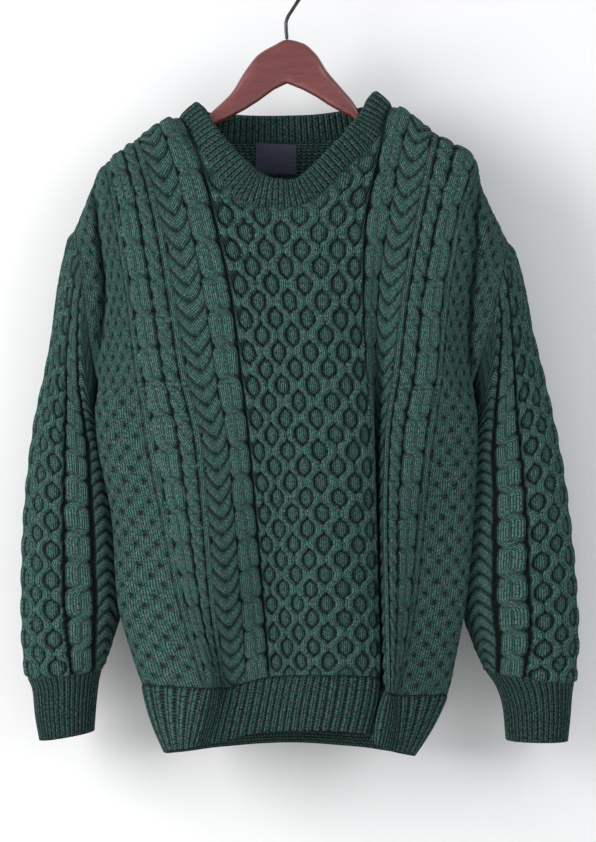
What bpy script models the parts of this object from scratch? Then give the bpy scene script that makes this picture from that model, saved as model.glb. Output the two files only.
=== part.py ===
"""Cable-knit crewneck sweater hanging on a wooden hanger.

Sizes are in millimetres and become metres when a mesh is made. The inside of
the hook's top is the origin, +X is the viewer's right, +Z is up and the front
faces -Y. Every cloth piece is a wall: its outer points carry the raised knit,
its inner points are plain. Each wall is a list of chains of points, and two
neighbouring chains are joined by triangles in the order of their keys.
"""
import math
import bpy
import numpy as np

MM = 0.001
GARMENT = "cable_knit_sweater"

# cloth
WALL = 3.0
SEAM = 0.3
INNER_INSET = 2.0
ROW = 17.1
CELL = 2.0 * ROW
CORD = 17.4

# the panel from hem to shoulder: height gained per millimetre of knitting
HEM_LEVEL = -785.0
GAIN = 0.906
GAIN_RISE = 0.0002335
LEVEL_AFTER = 520.0
CAP = 26.0
SEAM_LINE_Y = 2.0
UNDERARM_Z = -458.0
ARMHOLE_DEPTH = 40.0
HALF = 268.0
NECK_A = 75.0

# across the front, knitted distance from the centre of each named line
LINES = dict(seam_l=-268, edge_l=-245, rib_l=-183, ladder_l=-133, comb_l=-68, centre=0,
             comb_r=68, fold_r=100, ladder_r=133, rib_r=183, edge_r=245, seam_r=268)

# columns: height, then x of each named line
FRONT_X = (
    (-784, -157, -162, -88, -71, -16, 38, 98, 103, 111, 122, 180, 174),
    (-697, -178, -186, -113, -81, -23, 34, 95, 101, 109, 137, 196, 187),
    (-610, -184, -192, -131, -88, -30, 30, 92, 99, 107, 145, 204, 194),
    (-522, -196, -208, -148, -96, -38, 25, 88, 97, 109, 154, 208, 197),
    (-490, -204, -210, -153, -103, -41, 22, 86, 97, 112, 159, 207, 201),
    (-458, -212, -203, -159, -111, -45, 19, 83, 97, 117, 164, 199, 208),
    (-370, -222, -204, -171, -125, -56, 11, 79, 99, 127, 172, 210, 229),
    (-291, -235, -219, -183, -139, -73, 4, 81, 110, 141, 185, 229, 244),
    (-222, -250, -235, -196, -157, -89, 2, 94, 122, 155, 205, 232, 240),
    (-160, -268, -253, -217, -178, -114, -5, 106, 138, 169, 218, 248, 257),
)

# columns: height, then y of each named line
FRONT_Y = (
    (-784, 0, -15, -72, -52, -50, -62, -45, -30, -55, -48, -12, 0),
    (-697, 0, -12, -66, -70, -46, -68, -42, -16, -50, -34, -10, 0),
    (-610, 2, -10, -52, -68, -54, -72, -50, -22, -52, -36, -10, 2),
    (-522, 4, -12, -50, -66, -62, -72, -56, -30, -52, -44, -12, 4),
    (-490, 4, -16, -51, -66, -65, -72, -57, -34, -54, -47, -16, 4),
    (-458, 4, -24, -52, -66, -68, -72, -58, -40, -56, -50, -26, 4),
    (-370, 4, -34, -52, -62, -66, -66, -58, -50, -56, -52, -34, 4),
    (-291, 2, -26, -46, -54, -56, -52, -52, -50, -52, -46, -26, 2),
    (-222, 2, -22, -34, -40, -38, -48, -38, -36, -38, -34, -22, 2),
    (-160, 2, -18, -26, -30, -22, -42, -22, -26, -30, -26, -18, 2),
)

# columns: knitted distance, height of the top edge, share of the shoulder's round
FRONT_TOP = (
    (-268, -287, 1), (-245, -265, 1), (-225, -246, 1), (-200, -223, 1), (-183, -215, 1),
    (-133, -191, 1), (-75, -165, 1), (-69, -200, 0), (-60, -233, 0), (-42, -261, 0),
    (-15, -268, 0), (0, -268, 0), (15, -264, 0), (29, -250, 0), (49, -218, 0),
    (68, -190, 0), (75, -153, 1), (133, -184, 1), (183, -213, 1), (203, -236, 1),
    (225, -257, 1), (245, -277, 1), (268, -300, 1),
)
BACK_TOP = (
    (-268, -287, 1), (-245, -265, 1), (-225, -246, 1), (-200, -223, 1), (-183, -215, 1),
    (-133, -191, 1), (-75, -165, 1), (-68, -178, 0), (-52, -184, 0), (-15, -187, 0),
    (15, -186, 0), (52, -178, 0), (68, -170, 0), (75, -153, 1), (133, -184, 1),
    (183, -213, 1), (203, -236, 1), (225, -257, 1), (245, -277, 1), (268, -300, 1),
)

# columns: knitted distance, height where panel meets hem, then x, y, z of the hem's lower edge
HEM_FRONT = (
    (-268, -794, -133, 4, -871), (-245, -791, -135, -8, -868), (-183, -790, -102, -64, -855),
    (-133, -792, -85, -58, -853), (-68, -780, -28, -48, -841), (0, -777, 27, -56, -838),
    (68, -781, 86, -44, -843), (100, -790, 92, -34, -849), (133, -797, 100, -52, -855),
    (183, -800, 114, -46, -862), (245, -803, 139, -10, -872), (268, -800, 138, 4, -873),
)
HEM_BACK = (
    (-268, -794, -133, 4, -871), (-225, -797, -120, 34, -874), (-133, -800, -72, 52, -870),
    (0, -798, 2, 56, -866), (133, -800, 76, 52, -870), (225, -800, 124, 34, -874),
    (268, -800, 138, 4, -873),
)

# columns: height, y of the back's middle
BACK_DEPTH = (
    (-784, 52), (-697, 55), (-610, 57), (-522, 58), (-458, 58), (-370, 55), (-291, 50),
    (-222, 42), (-160, 34),
)

# soft troughs of the front: knitted distance at two heights, half width, depth, fade
FRONT_FOLDS = (
    dict(name="left arm crease", a1=-212, z1=-232, a2=-246, z2=-400, half=16, depth=13, fade=40),
    dict(name="right arm crease", a1=203, z1=-255, a2=244, z2=-430, half=16, depth=13, fade=40),
)
BACK_FOLDS = (
    dict(name="left drape", a1=-120, z1=-330, a2=-100, z2=-800, half=60, depth=-11, fade=120),
    dict(name="right drape", a1=105, z1=-300, a2=135, z2=-800, half=55, depth=-12, fade=120),
)

# columns: outer x, outer z, inner x, inner z, y of the middle, half depth, half girth
SLEEVE_LEFT = (
    (-235, -287, -212, -458, 4, 40, 215),
    (-254, -380, -213, -492, 22, 40, 172),
    (-268, -450, -207, -520, 28, 40, 152),
    (-280, -506, -199, -550, 28, 40, 145),
    (-289, -579, -193, -600, 27, 39, 143),
    (-293, -640, -188, -652, 26, 39, 143),
    (-294, -701, -187, -702, 25, 38, 141),
    (-293, -751, -198, -748, 24, 36, 130),
    (-289, -789, -210, -780, 23, 33, 116),
)
SLEEVE_RIGHT = (
    (244, -300, 208, -458, 4, 40, 205),
    (264, -380, 209, -492, 22, 40, 172),
    (280, -440, 206, -520, 28, 40, 155),
    (293, -495, 202, -551, 28, 40, 148),
    (305, -556, 201, -590, 28, 39, 146),
    (313, -617, 198, -640, 27, 39, 146),
    (319, -679, 195, -698, 26, 38, 146),
    (322, -740, 208, -746, 25, 36, 138),
    (319, -795, 224, -782, 24, 33, 120),
)
CUFF_LEFT = (
    (-289, -789, -210, -780, 23, 33),
    (-284, -802, -213, -793, 23, 30),
    (-281, -830, -216, -820, 22, 28),
    (-276, -858, -218, -848, 21, 27),
)
CUFF_RIGHT = (
    (319, -795, 224, -782, 24, 33),
    (317, -808, 235, -798, 23, 30),
    (315, -832, 243, -824, 22, 28),
    (312, -859, 246, -858, 21, 27),
)

# raised knit: columns on each side of the centre
CABLES = (
    dict(name="wide cable", at=86.0, half=12.5, pitch=CELL, height=4.0),
    dict(name="outer cable", at=167.0, half=12.0, pitch=CELL, height=4.0),
)
LADDERS = (
    dict(name="inner rib", at=133.0, half=4.2, height=2.6),
    dict(name="outer rib", at=183.5, half=4.2, height=2.6),
)
ROPE = dict(at=146.0, half=8.6, pitch=16.5, height=3.0)
CHEVRON = dict(at=114.0, half=14.5, pitch=ROW, height=2.0)
COMB_HALF = 69.6
COMB_HEIGHT = 3.8
COMB_SWING = 4.3
COMB_CORD = 4.7
EDGE_FADE = 16.0
NECK_REACH = 10.0
ARMHOLE_GAP = 0.9
SEED_HEIGHT = 1.6
SEED_ACROSS = 32.0
SEED_UP = 34.2
FOLD_FLAT = dict(at=100.0, reach=30.0, below=-380.0, full=-470.0)

# mesh columns of the front, knitted distance from the centre, and which gaps get a middle point
FRONT_COLUMNS = (8.7, 26.1, 43.5, 60.9, 69.6, 75, 87, 100, 129, 133, 137, 146, 155, 167, 179,
                 183.5, 188, 204, 220, 236, 252)
FRONT_MIDDLES = ((0, 61), (76, 101), (154, 180))
BACK_COLUMNS = (8.7, 26.1, 43.5, 60.9, 69.6, 75, 87, 100, 133, 167, 205, 240)
BACK_MIDDLES = ((0, 61),)
INNER_COLUMNS = (17, 43, 68, 84, 100, 116, 133, 158, 183, 205, 226, 247)
SLEEVE_COLUMNS = (8.7, 26.1, 43.5, 55, 68, 81)
COMB_EDGE = 50.0
SLEEVE_PLAIN = (0.25, 0.5, 0.75)

HEM_RIB = 6.7
CUFF_RIBS = 41
NECK_RIB = 7.0
RIB_HEIGHT = 1.8
NECK_RISE = 29.0
NECK_THICK = 8.0
NECK_LEAN = 1.2
NECK_GAP = 1.1
HEAD_PUFF = 15.0

# columns: x, top z, bottom z, y of the middle, half thickness
HANGER = (
    (-203, -232, -240, -4, 4.0),
    (-197, -227, -242, -4, 6.0),
    (-184, -214, -232, -4, 6.5),
    (-164, -201, -219, -3, 6.5),
    (-142, -191, -207, -2, 6.5),
    (-115, -180, -193, 0, 6.0),
    (-99, -173, -186, 0, 6.0),
    (-83, -157.5, -174, 0, 6.0),
    (-62, -137, -164, 0, 6.5),
    (-47, -113, -156, 0, 7.0),
    (-32, -94.5, -146.5, 0, 7.5),
    (-15, -84.5, -134, 0, 7.5),
    (-0.5, -78, -127, 0, 7.5),
    (17, -82, -134, 0, 7.5),
    (32, -94.5, -142, 0, 7.5),
    (44, -113, -150, 0, 7.0),
    (60, -132, -159, 0, 6.5),
    (72, -146, -165, 0, 6.0),
    (81, -160, -176, 0, 5.5),
    (93, -171, -184, 0, 5.5),
    (110, -177, -190, 0, 6.0),
    (144, -190, -206, -2, 6.5),
    (179, -205, -223, -3, 6.5),
    (198, -221, -237, -4, 6.0),
    (204, -227, -236, -4, 4.0),
)
WIRE = 2.0
HOOK_CENTRE = (-1.0, -18.5)
HOOK_RADIUS = 20.5
HOOK_FROM = -49.0
HOOK_TO = 196.0
HOOK_STEPS = 14
HOOK_STEM = ((-0.5, -78.0), (-1.4, -68.0), (-1.6, -60.0), (0.5, -53.0), (4.5, -46.5), (9.0, -39.5))

LABEL = dict(left=-36.0, right=10.0, top=-190.0, bottom=-223.0, thick=0.6, off=0.8, tilt=1.6)

COLOURS = dict(
    front=(0.045, 0.105, 0.090), back=(0.042, 0.100, 0.086), hem=(0.040, 0.092, 0.080),
    sleeve=(0.044, 0.102, 0.088), cuff=(0.038, 0.088, 0.076), band=(0.040, 0.095, 0.082),
    label=(0.018, 0.021, 0.052), wood=(0.145, 0.030, 0.026), wire=(0.055, 0.052, 0.055),
)


def slopes(knots, values):
    """Slopes at the rows of a table, kept so that the curve never swings past a row."""
    rise = np.diff(values, axis=-1) / np.diff(knots)
    before = rise[..., :-1]
    after = rise[..., 1:]
    same = before * after > 0
    total = np.where(same, before + after, 1.0)
    inner = np.where(same, 2.0 * before * after / total, 0.0)
    return np.concatenate([rise[..., :1], inner, rise[..., -1:]], axis=-1)


def pick(table, index):
    """One value a row from the last axis."""
    return np.take_along_axis(table, index[..., None], -1)[..., 0]


def smooth(knots, values, at):
    """A smooth curve through the table rows, read at the given places."""
    knots = np.asarray(knots, float)
    at = np.asarray(at, float)
    values = np.broadcast_to(np.asarray(values, float), at.shape + (len(knots),))
    slope = slopes(knots, values)
    low = np.clip(np.searchsorted(knots, at) - 1, 0, len(knots) - 2)
    span = knots[low + 1] - knots[low]
    s = (at - knots[low]) / span
    inside = np.clip(s, 0.0, 1.0)
    v0, v1 = pick(values, low), pick(values, low + 1)
    m0, m1 = pick(slope, low) * span, pick(slope, low + 1) * span
    s2, s3 = inside ** 2, inside ** 3
    curve = (2 * s3 - 3 * s2 + 1) * v0 + (s3 - 2 * s2 + inside) * m0
    curve = curve + (3 * s2 - 2 * s3) * v1 + (s3 - s2) * m1
    beyond = np.where(s < 0, s * m0, np.where(s > 1, (s - 1) * m1, 0.0))
    return curve + beyond


def column(table, index):
    """One named column of a table as an array."""
    return np.array([row[index] for row in table], float)


def by_height(table, z):
    """Every line's value at each height: one row per height, one column per line."""
    values = np.array([row[1:] for row in table], float).T
    return smooth(column(table, 0), values, np.repeat(z[..., None], len(values), axis=-1))


def ease(t):
    """Soft step from 0 to 1."""
    t = np.clip(t, 0.0, 1.0)
    return t * t * (3 - 2 * t)


def trough(folds, a, z):
    """Depth added by the named folds, each a cosine trough along a leaning line."""
    depth = np.zeros_like(a)
    for fold in folds:
        share = (z - fold["z1"]) / (fold["z2"] - fold["z1"])
        middle = fold["a1"] + (fold["a2"] - fold["a1"]) * np.clip(share, -0.3, 1.3)
        across = np.clip(np.abs(a - middle) / fold["half"], 0, 1)
        length = ease((fold["z1"] - z) / fold["fade"] + 1) * ease((z - fold["z2"]) / fold["fade"] + 1)
        depth = depth + fold["depth"] * 0.5 * (1 + np.cos(math.pi * across)) * length
    return depth


def armhole_round(a, z):
    """How far out the armhole stands at this height, 0 at its ends and 1 half way."""
    top = np.where(a < 0, FRONT_TOP[0][1], FRONT_TOP[-1][1])
    middle = 0.5 * (top + UNDERARM_Z)
    half = 0.5 * (top - UNDERARM_Z)
    return np.sqrt(np.clip(1 - ((z - middle) / half) ** 2, 0, 1))


def front_section(a, z):
    """x and y of the front at a knitted distance and a height."""
    lines = list(LINES.values())
    xs = by_height(FRONT_X, z)
    ys = by_height(FRONT_Y, z)
    out = ARMHOLE_DEPTH * armhole_round(a, z)
    ys[..., 0] = ys[..., 0] - out
    ys[..., -1] = ys[..., -1] - out
    x = smooth(lines, xs, a)
    y = smooth(lines, ys, a) + trough(FRONT_FOLDS, a, z)
    return x, y


def back_section(a, z):
    """x and y of the back: an arched section between the side seams, with broad drapes."""
    fx, _ = front_section(a, z)
    xs = by_height(FRONT_X, z)
    ys = by_height(FRONT_Y, z)
    left, right = xs[..., 0], xs[..., -1]
    u = a / HALF
    spread = 0.62 * np.sin(0.5 * math.pi * u) + 0.38 * u
    plain = 0.5 * (left + right) + 0.5 * (right - left) * spread
    top = smooth(column(BACK_TOP, 0), column(BACK_TOP, 1), a)
    share = ease((top - z) / 80.0)
    x = fx * (1 - share) + plain * share
    seam_y = np.where(a < 0, ys[..., 0], ys[..., -1]) + ARMHOLE_DEPTH * armhole_round(a, z)
    depth = smooth(column(BACK_DEPTH, 0), column(BACK_DEPTH, 1), z)
    arch = np.clip(np.cos(0.5 * math.pi * u), 0, 1) ** 0.62
    y = seam_y + (depth - seam_y) * arch + trough(BACK_FOLDS, a, z)
    return x, y


PANELS = dict(
    front=dict(section=front_section, top=FRONT_TOP, hem=HEM_FRONT, out=1.0),
    back=dict(section=back_section, top=BACK_TOP, hem=HEM_BACK, out=-1.0),
)


def length_to(panel, a, z):
    """Knitted length from the hem up to a height, for one panel."""
    dip = smooth(column(panel["hem"], 0), column(panel["hem"], 1), a) - HEM_LEVEL
    linear = GAIN - dip / LEVEL_AFTER
    rest = HEM_LEVEL + dip - z
    return (-linear + np.sqrt(linear ** 2 - 4 * GAIN_RISE * rest)) / (2 * GAIN_RISE)


def top_of(panel, a):
    """Where the straight rise ends, how long the round over the shoulder is, and its share."""
    height = smooth(column(panel["top"], 0), column(panel["top"], 1), a)
    share = np.clip(smooth(column(panel["top"], 0), column(panel["top"], 2), a), 0, 1)
    start = height - CAP * share
    _, y = panel["section"](a, start)
    depth = (SEAM_LINE_Y - y) * share
    arc = 0.5 * math.pi * np.sqrt(0.5 * ((CAP * share) ** 2 + depth ** 2))
    return start, np.maximum(arc, 1e-6), share


def panel_length(panel, a):
    """Full knitted length of a wale, hem to top edge."""
    start, arc, _ = top_of(panel, a)
    return length_to(panel, a, start) + arc


def panel_point(panel, a, b):
    """The panel's smooth surface at knitted distance a across and b up from the hem."""
    a = np.asarray(a, float)
    b = np.asarray(b, float)
    start, arc, share = top_of(panel, a)
    turn = length_to(panel, a, start)
    dip = smooth(column(panel["hem"], 0), column(panel["hem"], 1), a) - HEM_LEVEL
    rise = HEM_LEVEL + dip * (1 - b / LEVEL_AFTER) + GAIN * b + GAIN_RISE * b * b
    angle = np.clip((b - turn) / arc, 0, 1) * 0.5 * math.pi
    over = b > turn
    z = np.where(over, start + CAP * share * np.sin(angle), rise)
    x, y = panel["section"](a, z)
    line = SEAM_LINE_Y * share + y * (1 - share)
    y = np.where(over, line + (y - line) * np.cos(angle), y)
    return np.stack([x, y, z], axis=-1)


def unit(v):
    """Vectors of length one."""
    return v / np.maximum(np.linalg.norm(v, axis=-1, keepdims=True), 1e-9)


def panel_normal(name, a, b):
    """Outward direction; on the side and shoulder seams it is shared by front and back."""
    panel = PANELS[name]
    a = np.asarray(a, float)
    b = np.asarray(b, float)
    full = panel_length(panel, a)
    e = 1.5
    a0, a1 = np.clip(a - e, -HALF, HALF), np.clip(a + e, -HALF, HALF)
    b0, b1 = np.clip(b - e, 0, full - 0.01), np.clip(b + e, 0.02, full)
    across = panel_point(panel, a1, b) - panel_point(panel, a0, b)
    up = panel_point(panel, a, b1) - panel_point(panel, a, b0)
    return unit(np.cross(across, up)) * panel["out"]


def shared_normal(name, a, b):
    """The panel's outward direction, averaged with the other panel at the side seams."""
    own = panel_normal(name, a, b)
    other = panel_normal("back" if name == "front" else "front", a, b)
    z = panel_point(PANELS[name], a, b)[..., 2]
    near = ease((np.abs(a) - 262.0) / 6.0) * (1 - armhole_round(np.asarray(a, float), z))
    return unit(own + other * near[..., None])


def ridge(distance, half):
    """A round ridge: 1 on its line and 0 at its edge."""
    return np.sqrt(np.clip(1 - (distance / half) ** 2, 0, 1))


def honeycomb(a, b, cords):
    """Wavy cords that touch and part in turn and leave deep cells between."""
    height = np.zeros_like(a)
    wave = np.cos(2 * math.pi * b / CELL)
    for i in range(-cords, cords + 1):
        line = CORD * i + COMB_SWING * wave * (1 if i % 2 == 0 else -1)
        height = np.maximum(height, ridge(a - line, COMB_CORD))
    return COMB_HEIGHT * height


def cable(side, distance, b, half, pitch, height):
    """Two strands that cross over once a pitch, the same way on both sides."""
    swing = (half - 6.0) * np.cos(math.pi * b / pitch)
    lift = np.sin(math.pi * b / pitch)
    first = ridge(distance * side - swing, 6.2) * (0.86 + 0.14 * lift)
    second = ridge(distance * side + swing, 6.2) * (0.86 - 0.14 * lift)
    return height * np.maximum(first, second)


def front_knit(a, b, z):
    """Height of the raised knit on a panel, in named bands from the centre to the sides."""
    far = np.abs(a)
    side = np.sign(a + 1e-9)
    height = np.where(far < COMB_HALF + 3, honeycomb(a, b, 4), 0.0)
    for row in CABLES:
        lift = cable(side, far - row["at"], b, row["half"], row["pitch"], row["height"])
        height = np.where(np.abs(far - row["at"]) < row["half"], lift, height)
    for row in LADDERS:
        height = np.maximum(height, row["height"] * ridge(far - row["at"], row["half"]))
    slant = np.cos(2 * math.pi * (b + 0.9 * (far - ROPE["at"]) * side) / ROPE["pitch"])
    rope = ROPE["height"] * ridge(far - ROPE["at"], ROPE["half"]) * (0.8 + 0.2 * slant)
    height = np.maximum(height, rope)
    vee = np.cos(2 * math.pi * (b - np.abs(far - CHEVRON["at"])) / CHEVRON["pitch"])
    chevron = CHEVRON["height"] * (0.6 + 0.4 * vee)
    height = np.where(np.abs(far - CHEVRON["at"]) < CHEVRON["half"], chevron, height)
    seed = np.cos(2 * math.pi * (far - 188) / SEED_ACROSS) * np.cos(2 * math.pi * b / SEED_UP)
    height = np.where(far > 188, SEED_HEIGHT * (1 - 0.6 * np.abs(seed)), height)
    deep = ease((FOLD_FLAT["below"] - z) / (FOLD_FLAT["below"] - FOLD_FLAT["full"]))
    close = 1 - ease(np.abs(a - FOLD_FLAT["at"]) / FOLD_FLAT["reach"])
    return height * (1 - 0.85 * deep * close)


def flat_edge(panel, a, b):
    """0 on a panel's sewn edges and 1 a little way in, beside the steep neck edge too."""
    inward = a - np.sign(a) * np.minimum(np.abs(a), NECK_REACH)
    top = np.minimum(panel_length(panel, a), panel_length(panel, inward) + EDGE_FADE / 2)
    side = ease((HALF - np.abs(a)) / EDGE_FADE)
    return side * ease((top - b) / EDGE_FADE) * (0.4 + 0.6 * ease(b / EDGE_FADE))


def back_knit(a, b, z):
    """The same bands on the back, with no deep fold to keep flat."""
    return front_knit(a, b, np.full_like(a, 0.0))


def sleeve_knit(s, b):
    """The sleeve's raised knit: honeycomb on the outside, a cable each side, then plain."""
    far = np.abs(s)
    side = np.sign(s + 1e-9)
    height = np.where(far < 3 * CORD + 4, honeycomb(s, b, 2), 0.0)
    lift = cable(side, far - 68.0, b, 12.0, CELL, 3.6)
    return np.where(np.abs(far - 68.0) < 12.0, lift, height)


def chain(points, keys, at):
    """A row or column of a wall: its points, their keys and the chain's own key."""
    return dict(points=np.asarray(points, float), keys=np.asarray(keys, float), at=float(at))


def zip_chains(ids_a, keys_a, ids_b, keys_b):
    """Triangles between two chains, taking the points in the order of their keys."""
    faces = []
    i = 0
    j = 0
    while i < len(ids_a) - 1 or j < len(ids_b) - 1:
        take_a = j == len(ids_b) - 1
        if not take_a and i < len(ids_a) - 1:
            take_a = keys_a[i + 1] + keys_a[i] <= keys_b[j + 1] + keys_b[j]
        if take_a:
            faces.append((ids_a[i], ids_b[j], ids_a[i + 1]))
            i += 1
        else:
            faces.append((ids_a[i], ids_b[j], ids_b[j + 1]))
            j += 1
    return faces


class Wall:
    """Points and faces of one closed wall."""

    def __init__(self):
        self.points = []
        self.faces = []

    def add(self, row, closed):
        """Store a chain and give back its point numbers and keys, closed on itself if a ring."""
        first = len(self.points)
        self.points.extend(row["points"].tolist())
        ids = list(range(first, first + len(row["points"])))
        keys = list(row["keys"])
        if closed:
            ids.append(ids[0])
            keys.append(keys[0] + closed)
        return ids, keys

    def skin(self, chains, closed, middles=None, flip=False):
        """Join neighbouring chains; middles(i) gives the middle points of the squares after chain i."""
        stored = [self.add(row, closed) for row in chains]
        for i in range(len(chains) - 1):
            (ids_a, keys_a), (ids_b, keys_b) = stored[i], stored[i + 1]
            centres = middles(i) if middles else []
            count = len(centres)
            start = len(self.points)
            self.points.extend(centres)
            faces = []
            for k in range(count):
                corners = (ids_a[k], ids_b[k], ids_b[k + 1], ids_a[k + 1])
                for p in range(4):
                    faces.append((corners[p], corners[(p + 1) % 4], start + k))
            faces.extend(zip_chains(ids_a[count:], keys_a[count:], ids_b[count:], keys_b[count:]))
            self.faces.extend([f[::-1] for f in faces] if flip else faces)
        return stored

    def close(self, outer, inner, outer_chains, inner_chains, ring):
        """Rims between the outer and inner skins."""
        for end in (0, -1):
            faces = zip_chains(outer[end][0], outer[end][1], inner[end][0], inner[end][1])
            self.faces.extend(faces if end else [f[::-1] for f in faces])
        if ring:
            return
        at_outer = [row["at"] for row in outer_chains]
        at_inner = [row["at"] for row in inner_chains]
        for end in (0, -1):
            outside = [ids[end] for ids, _ in outer]
            inside = [ids[end] for ids, _ in inner]
            faces = zip_chains(outside, at_outer, inside, at_inner)
            self.faces.extend([f[::-1] for f in faces] if end else faces)


def volume(points, faces):
    """Signed volume of a closed triangle mesh."""
    p = np.array(points)
    f = np.array(faces)
    return float(np.sum(np.cross(p[f[:, 0]], p[f[:, 1]]) * p[f[:, 2]]) / 6.0)


def material(name, colour, roughness, metallic=0.0):
    """One plain material."""
    mat = bpy.data.materials.new(name)
    mat.use_nodes = True
    shader = mat.node_tree.nodes["Principled BSDF"]
    shader.inputs["Base Color"].default_value = (*colour, 1.0)
    shader.inputs["Roughness"].default_value = roughness
    shader.inputs["Metallic"].default_value = metallic
    mat.diffuse_color = (*colour, 1.0)
    return mat


def solid(name, points, faces, colour, roughness, metallic=0.0):
    """A named object from triangles, in metres, facing outward."""
    if volume(points, faces) < 0:
        faces = [f[::-1] for f in faces]
    mesh = bpy.data.meshes.new(name)
    mesh.from_pydata((np.array(points) * MM).tolist(), [], faces)
    mesh.polygons.foreach_set("use_smooth", [True] * len(mesh.polygons))
    mesh.update()
    ob = bpy.data.objects.new(name, mesh)
    ob.data.materials.append(material(name, colour, roughness, metallic))
    return ob


def wall(name, outer, inner, closed, colour, middles=None):
    """A closed wall from outer chains and inner chains."""
    body = Wall()
    outside = body.skin(outer, closed, middles)
    inside = body.skin(inner, closed, None, flip=True)
    body.close(outside, inside, outer, inner, bool(closed))
    return solid(name, body.points, body.faces, colour, 0.95)


def panel_rows(panel, a):
    """Knitted heights of one column's points: even rows, then the top edge."""
    full = float(panel_length(panel, np.array([a]))[0])
    count = int((full - 7.0) // ROW)
    rows = [ROW * k for k in range(1, count + 1)]
    return [SEAM / 2] + rows + [full - SEAM / 2]


def panel_outer(name, knit, columns):
    """The panel's outer chains, one a column."""
    panel = PANELS[name]
    chains = []
    for a in columns:
        b = np.array(panel_rows(panel, a))
        across = np.full_like(b, a)
        base = panel_point(panel, across, b)
        lift = knit(across, b, base[..., 2]) * flat_edge(panel, across, b)
        chains.append(chain(base + shared_normal(name, across, b) * lift[:, None], b, a))
    return chains


def panel_inner(name, columns):
    """The panel's plain inner chains, fewer columns and every other row."""
    panel = PANELS[name]
    chains = []
    for a in columns:
        rows = panel_rows(panel, a)
        every = abs(a) > 260
        body = [b for k, b in enumerate(rows[1:-1]) if every or k % 2 == 1 or b > rows[-1] - 70]
        b = np.array([INNER_INSET] + body + [rows[-1] - INNER_INSET])
        across = np.full_like(b, a)
        base = panel_point(panel, across, b)
        chains.append(chain(base - shared_normal(name, across, b) * WALL, b, a))
    return chains


def make_panel(name, knit, half_columns, spans):
    """One panel: raised outside, plain inside."""
    panel = PANELS[name]
    edge = HALF - 0.25
    columns = [-edge] + [-c for c in reversed(half_columns)] + list(half_columns) + [edge]
    inside = [-HALF + INNER_INSET] + [-c for c in reversed(INNER_COLUMNS)] + [0.0]
    inside = inside + list(INNER_COLUMNS) + [HALF - INNER_INSET]
    outer = panel_outer(name, knit, columns)
    inner = panel_inner(name, inside)

    def middles(i):
        low, high = columns[i], columns[i + 1]
        centre = abs(low + high) / 2
        if not any(lo <= centre <= hi for lo, hi in spans):
            return []
        count = min(len(outer[i]["keys"]), len(outer[i + 1]["keys"])) - 2
        b = 0.5 * (outer[i]["keys"][:count] + outer[i]["keys"][1:count + 1])
        across = np.full_like(b, 0.5 * (low + high))
        base = panel_point(panel, across, b)
        lift = knit(across, b, base[..., 2]) * flat_edge(panel, across, b)
        return (base + shared_normal(name, across, b) * lift[:, None]).tolist()

    return wall(name, outer, inner, 0, COLOURS[name], middles), columns


def bottom_edge(name, columns):
    """The panel's lower edge: points, outward directions and keys for the hem to follow."""
    a = np.array(columns)
    a[0], a[-1] = -HALF, HALF
    zero = np.zeros_like(a)
    return panel_point(PANELS[name], a, zero), shared_normal(name, a, zero + 0.01), a


def make_hem(name, side, columns):
    """The welt under one panel, one ridge and one furrow a rib."""
    table = PANELS[side]["hem"]
    edge, out, keys = bottom_edge(side, columns)
    ribs = int(round(375.0 / HEM_RIB))
    fine = np.linspace(-HALF, HALF, 2 * ribs + 1)

    def at(a, t):
        top = np.stack([np.interp(a, keys, edge[:, k]) for k in range(3)], axis=-1)
        low = np.stack([smooth(column(table, 0), column(table, k), a) for k in (2, 3, 4)], axis=-1)
        swell = 3.0 * np.sin(math.pi * t)
        facing = np.stack([np.interp(a, keys, out[:, k]) for k in range(3)], axis=-1)
        return top + (low - top) * t + unit(facing) * swell, unit(facing)

    def row(a, t, lift):
        pulled = a.copy()
        pulled[0] += 0.25
        pulled[-1] -= 0.25
        point, facing = at(pulled, t)
        return chain(point + facing * lift[:, None], a, t)

    ridge_lift = np.where(np.arange(len(fine)) % 2 == 0, 0.2, RIB_HEIGHT)
    outer = [row(keys, 0.004, np.full_like(keys, 0.6))]
    outer += [row(fine, t, ridge_lift) for t in (0.06, 1.0)]
    coarse = np.array(sorted(set([-HALF + 1.0, HALF - 1.0, 0.0] + [s * c for s in (-1, 1)
                                                                 for c in INNER_COLUMNS])))
    inner = [row(coarse, t, np.full_like(coarse, -WALL)) for t in (0.02, 0.5, 1.0)]
    return wall(name, outer, inner, 0, COLOURS["hem"])


def armhole(side):
    """The ring of seam points round one armhole: down the front, then up the back."""
    a = side * HALF
    pieces = []
    for name, turned in (("front", False), ("back", True)):
        panel = PANELS[name]
        rows = panel_rows(panel, a)
        rows[-1] += SEAM / 2
        under = float(length_to(panel, np.array([a]), np.array([UNDERARM_Z]))[0])
        b = np.array([under] + [r for r in rows if r > under + 4])
        across = np.full_like(b, a)
        points = panel_point(panel, across, b)
        normals = shared_normal(name, across, b)
        if not turned:
            points, normals = points[::-1], normals[::-1]
        pieces.append((points, normals))
    points = np.concatenate([pieces[0][0], pieces[1][0][1:-1]])
    normals = np.concatenate([pieces[0][1], pieces[1][1][1:-1]])
    count = len(pieces[0][0])
    front_part = np.linspace(0, 1, count)
    back_part = 1 + np.linspace(0, 1, len(pieces[1][0]))[1:-1]
    return points, normals, np.concatenate([front_part, back_part])


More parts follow.
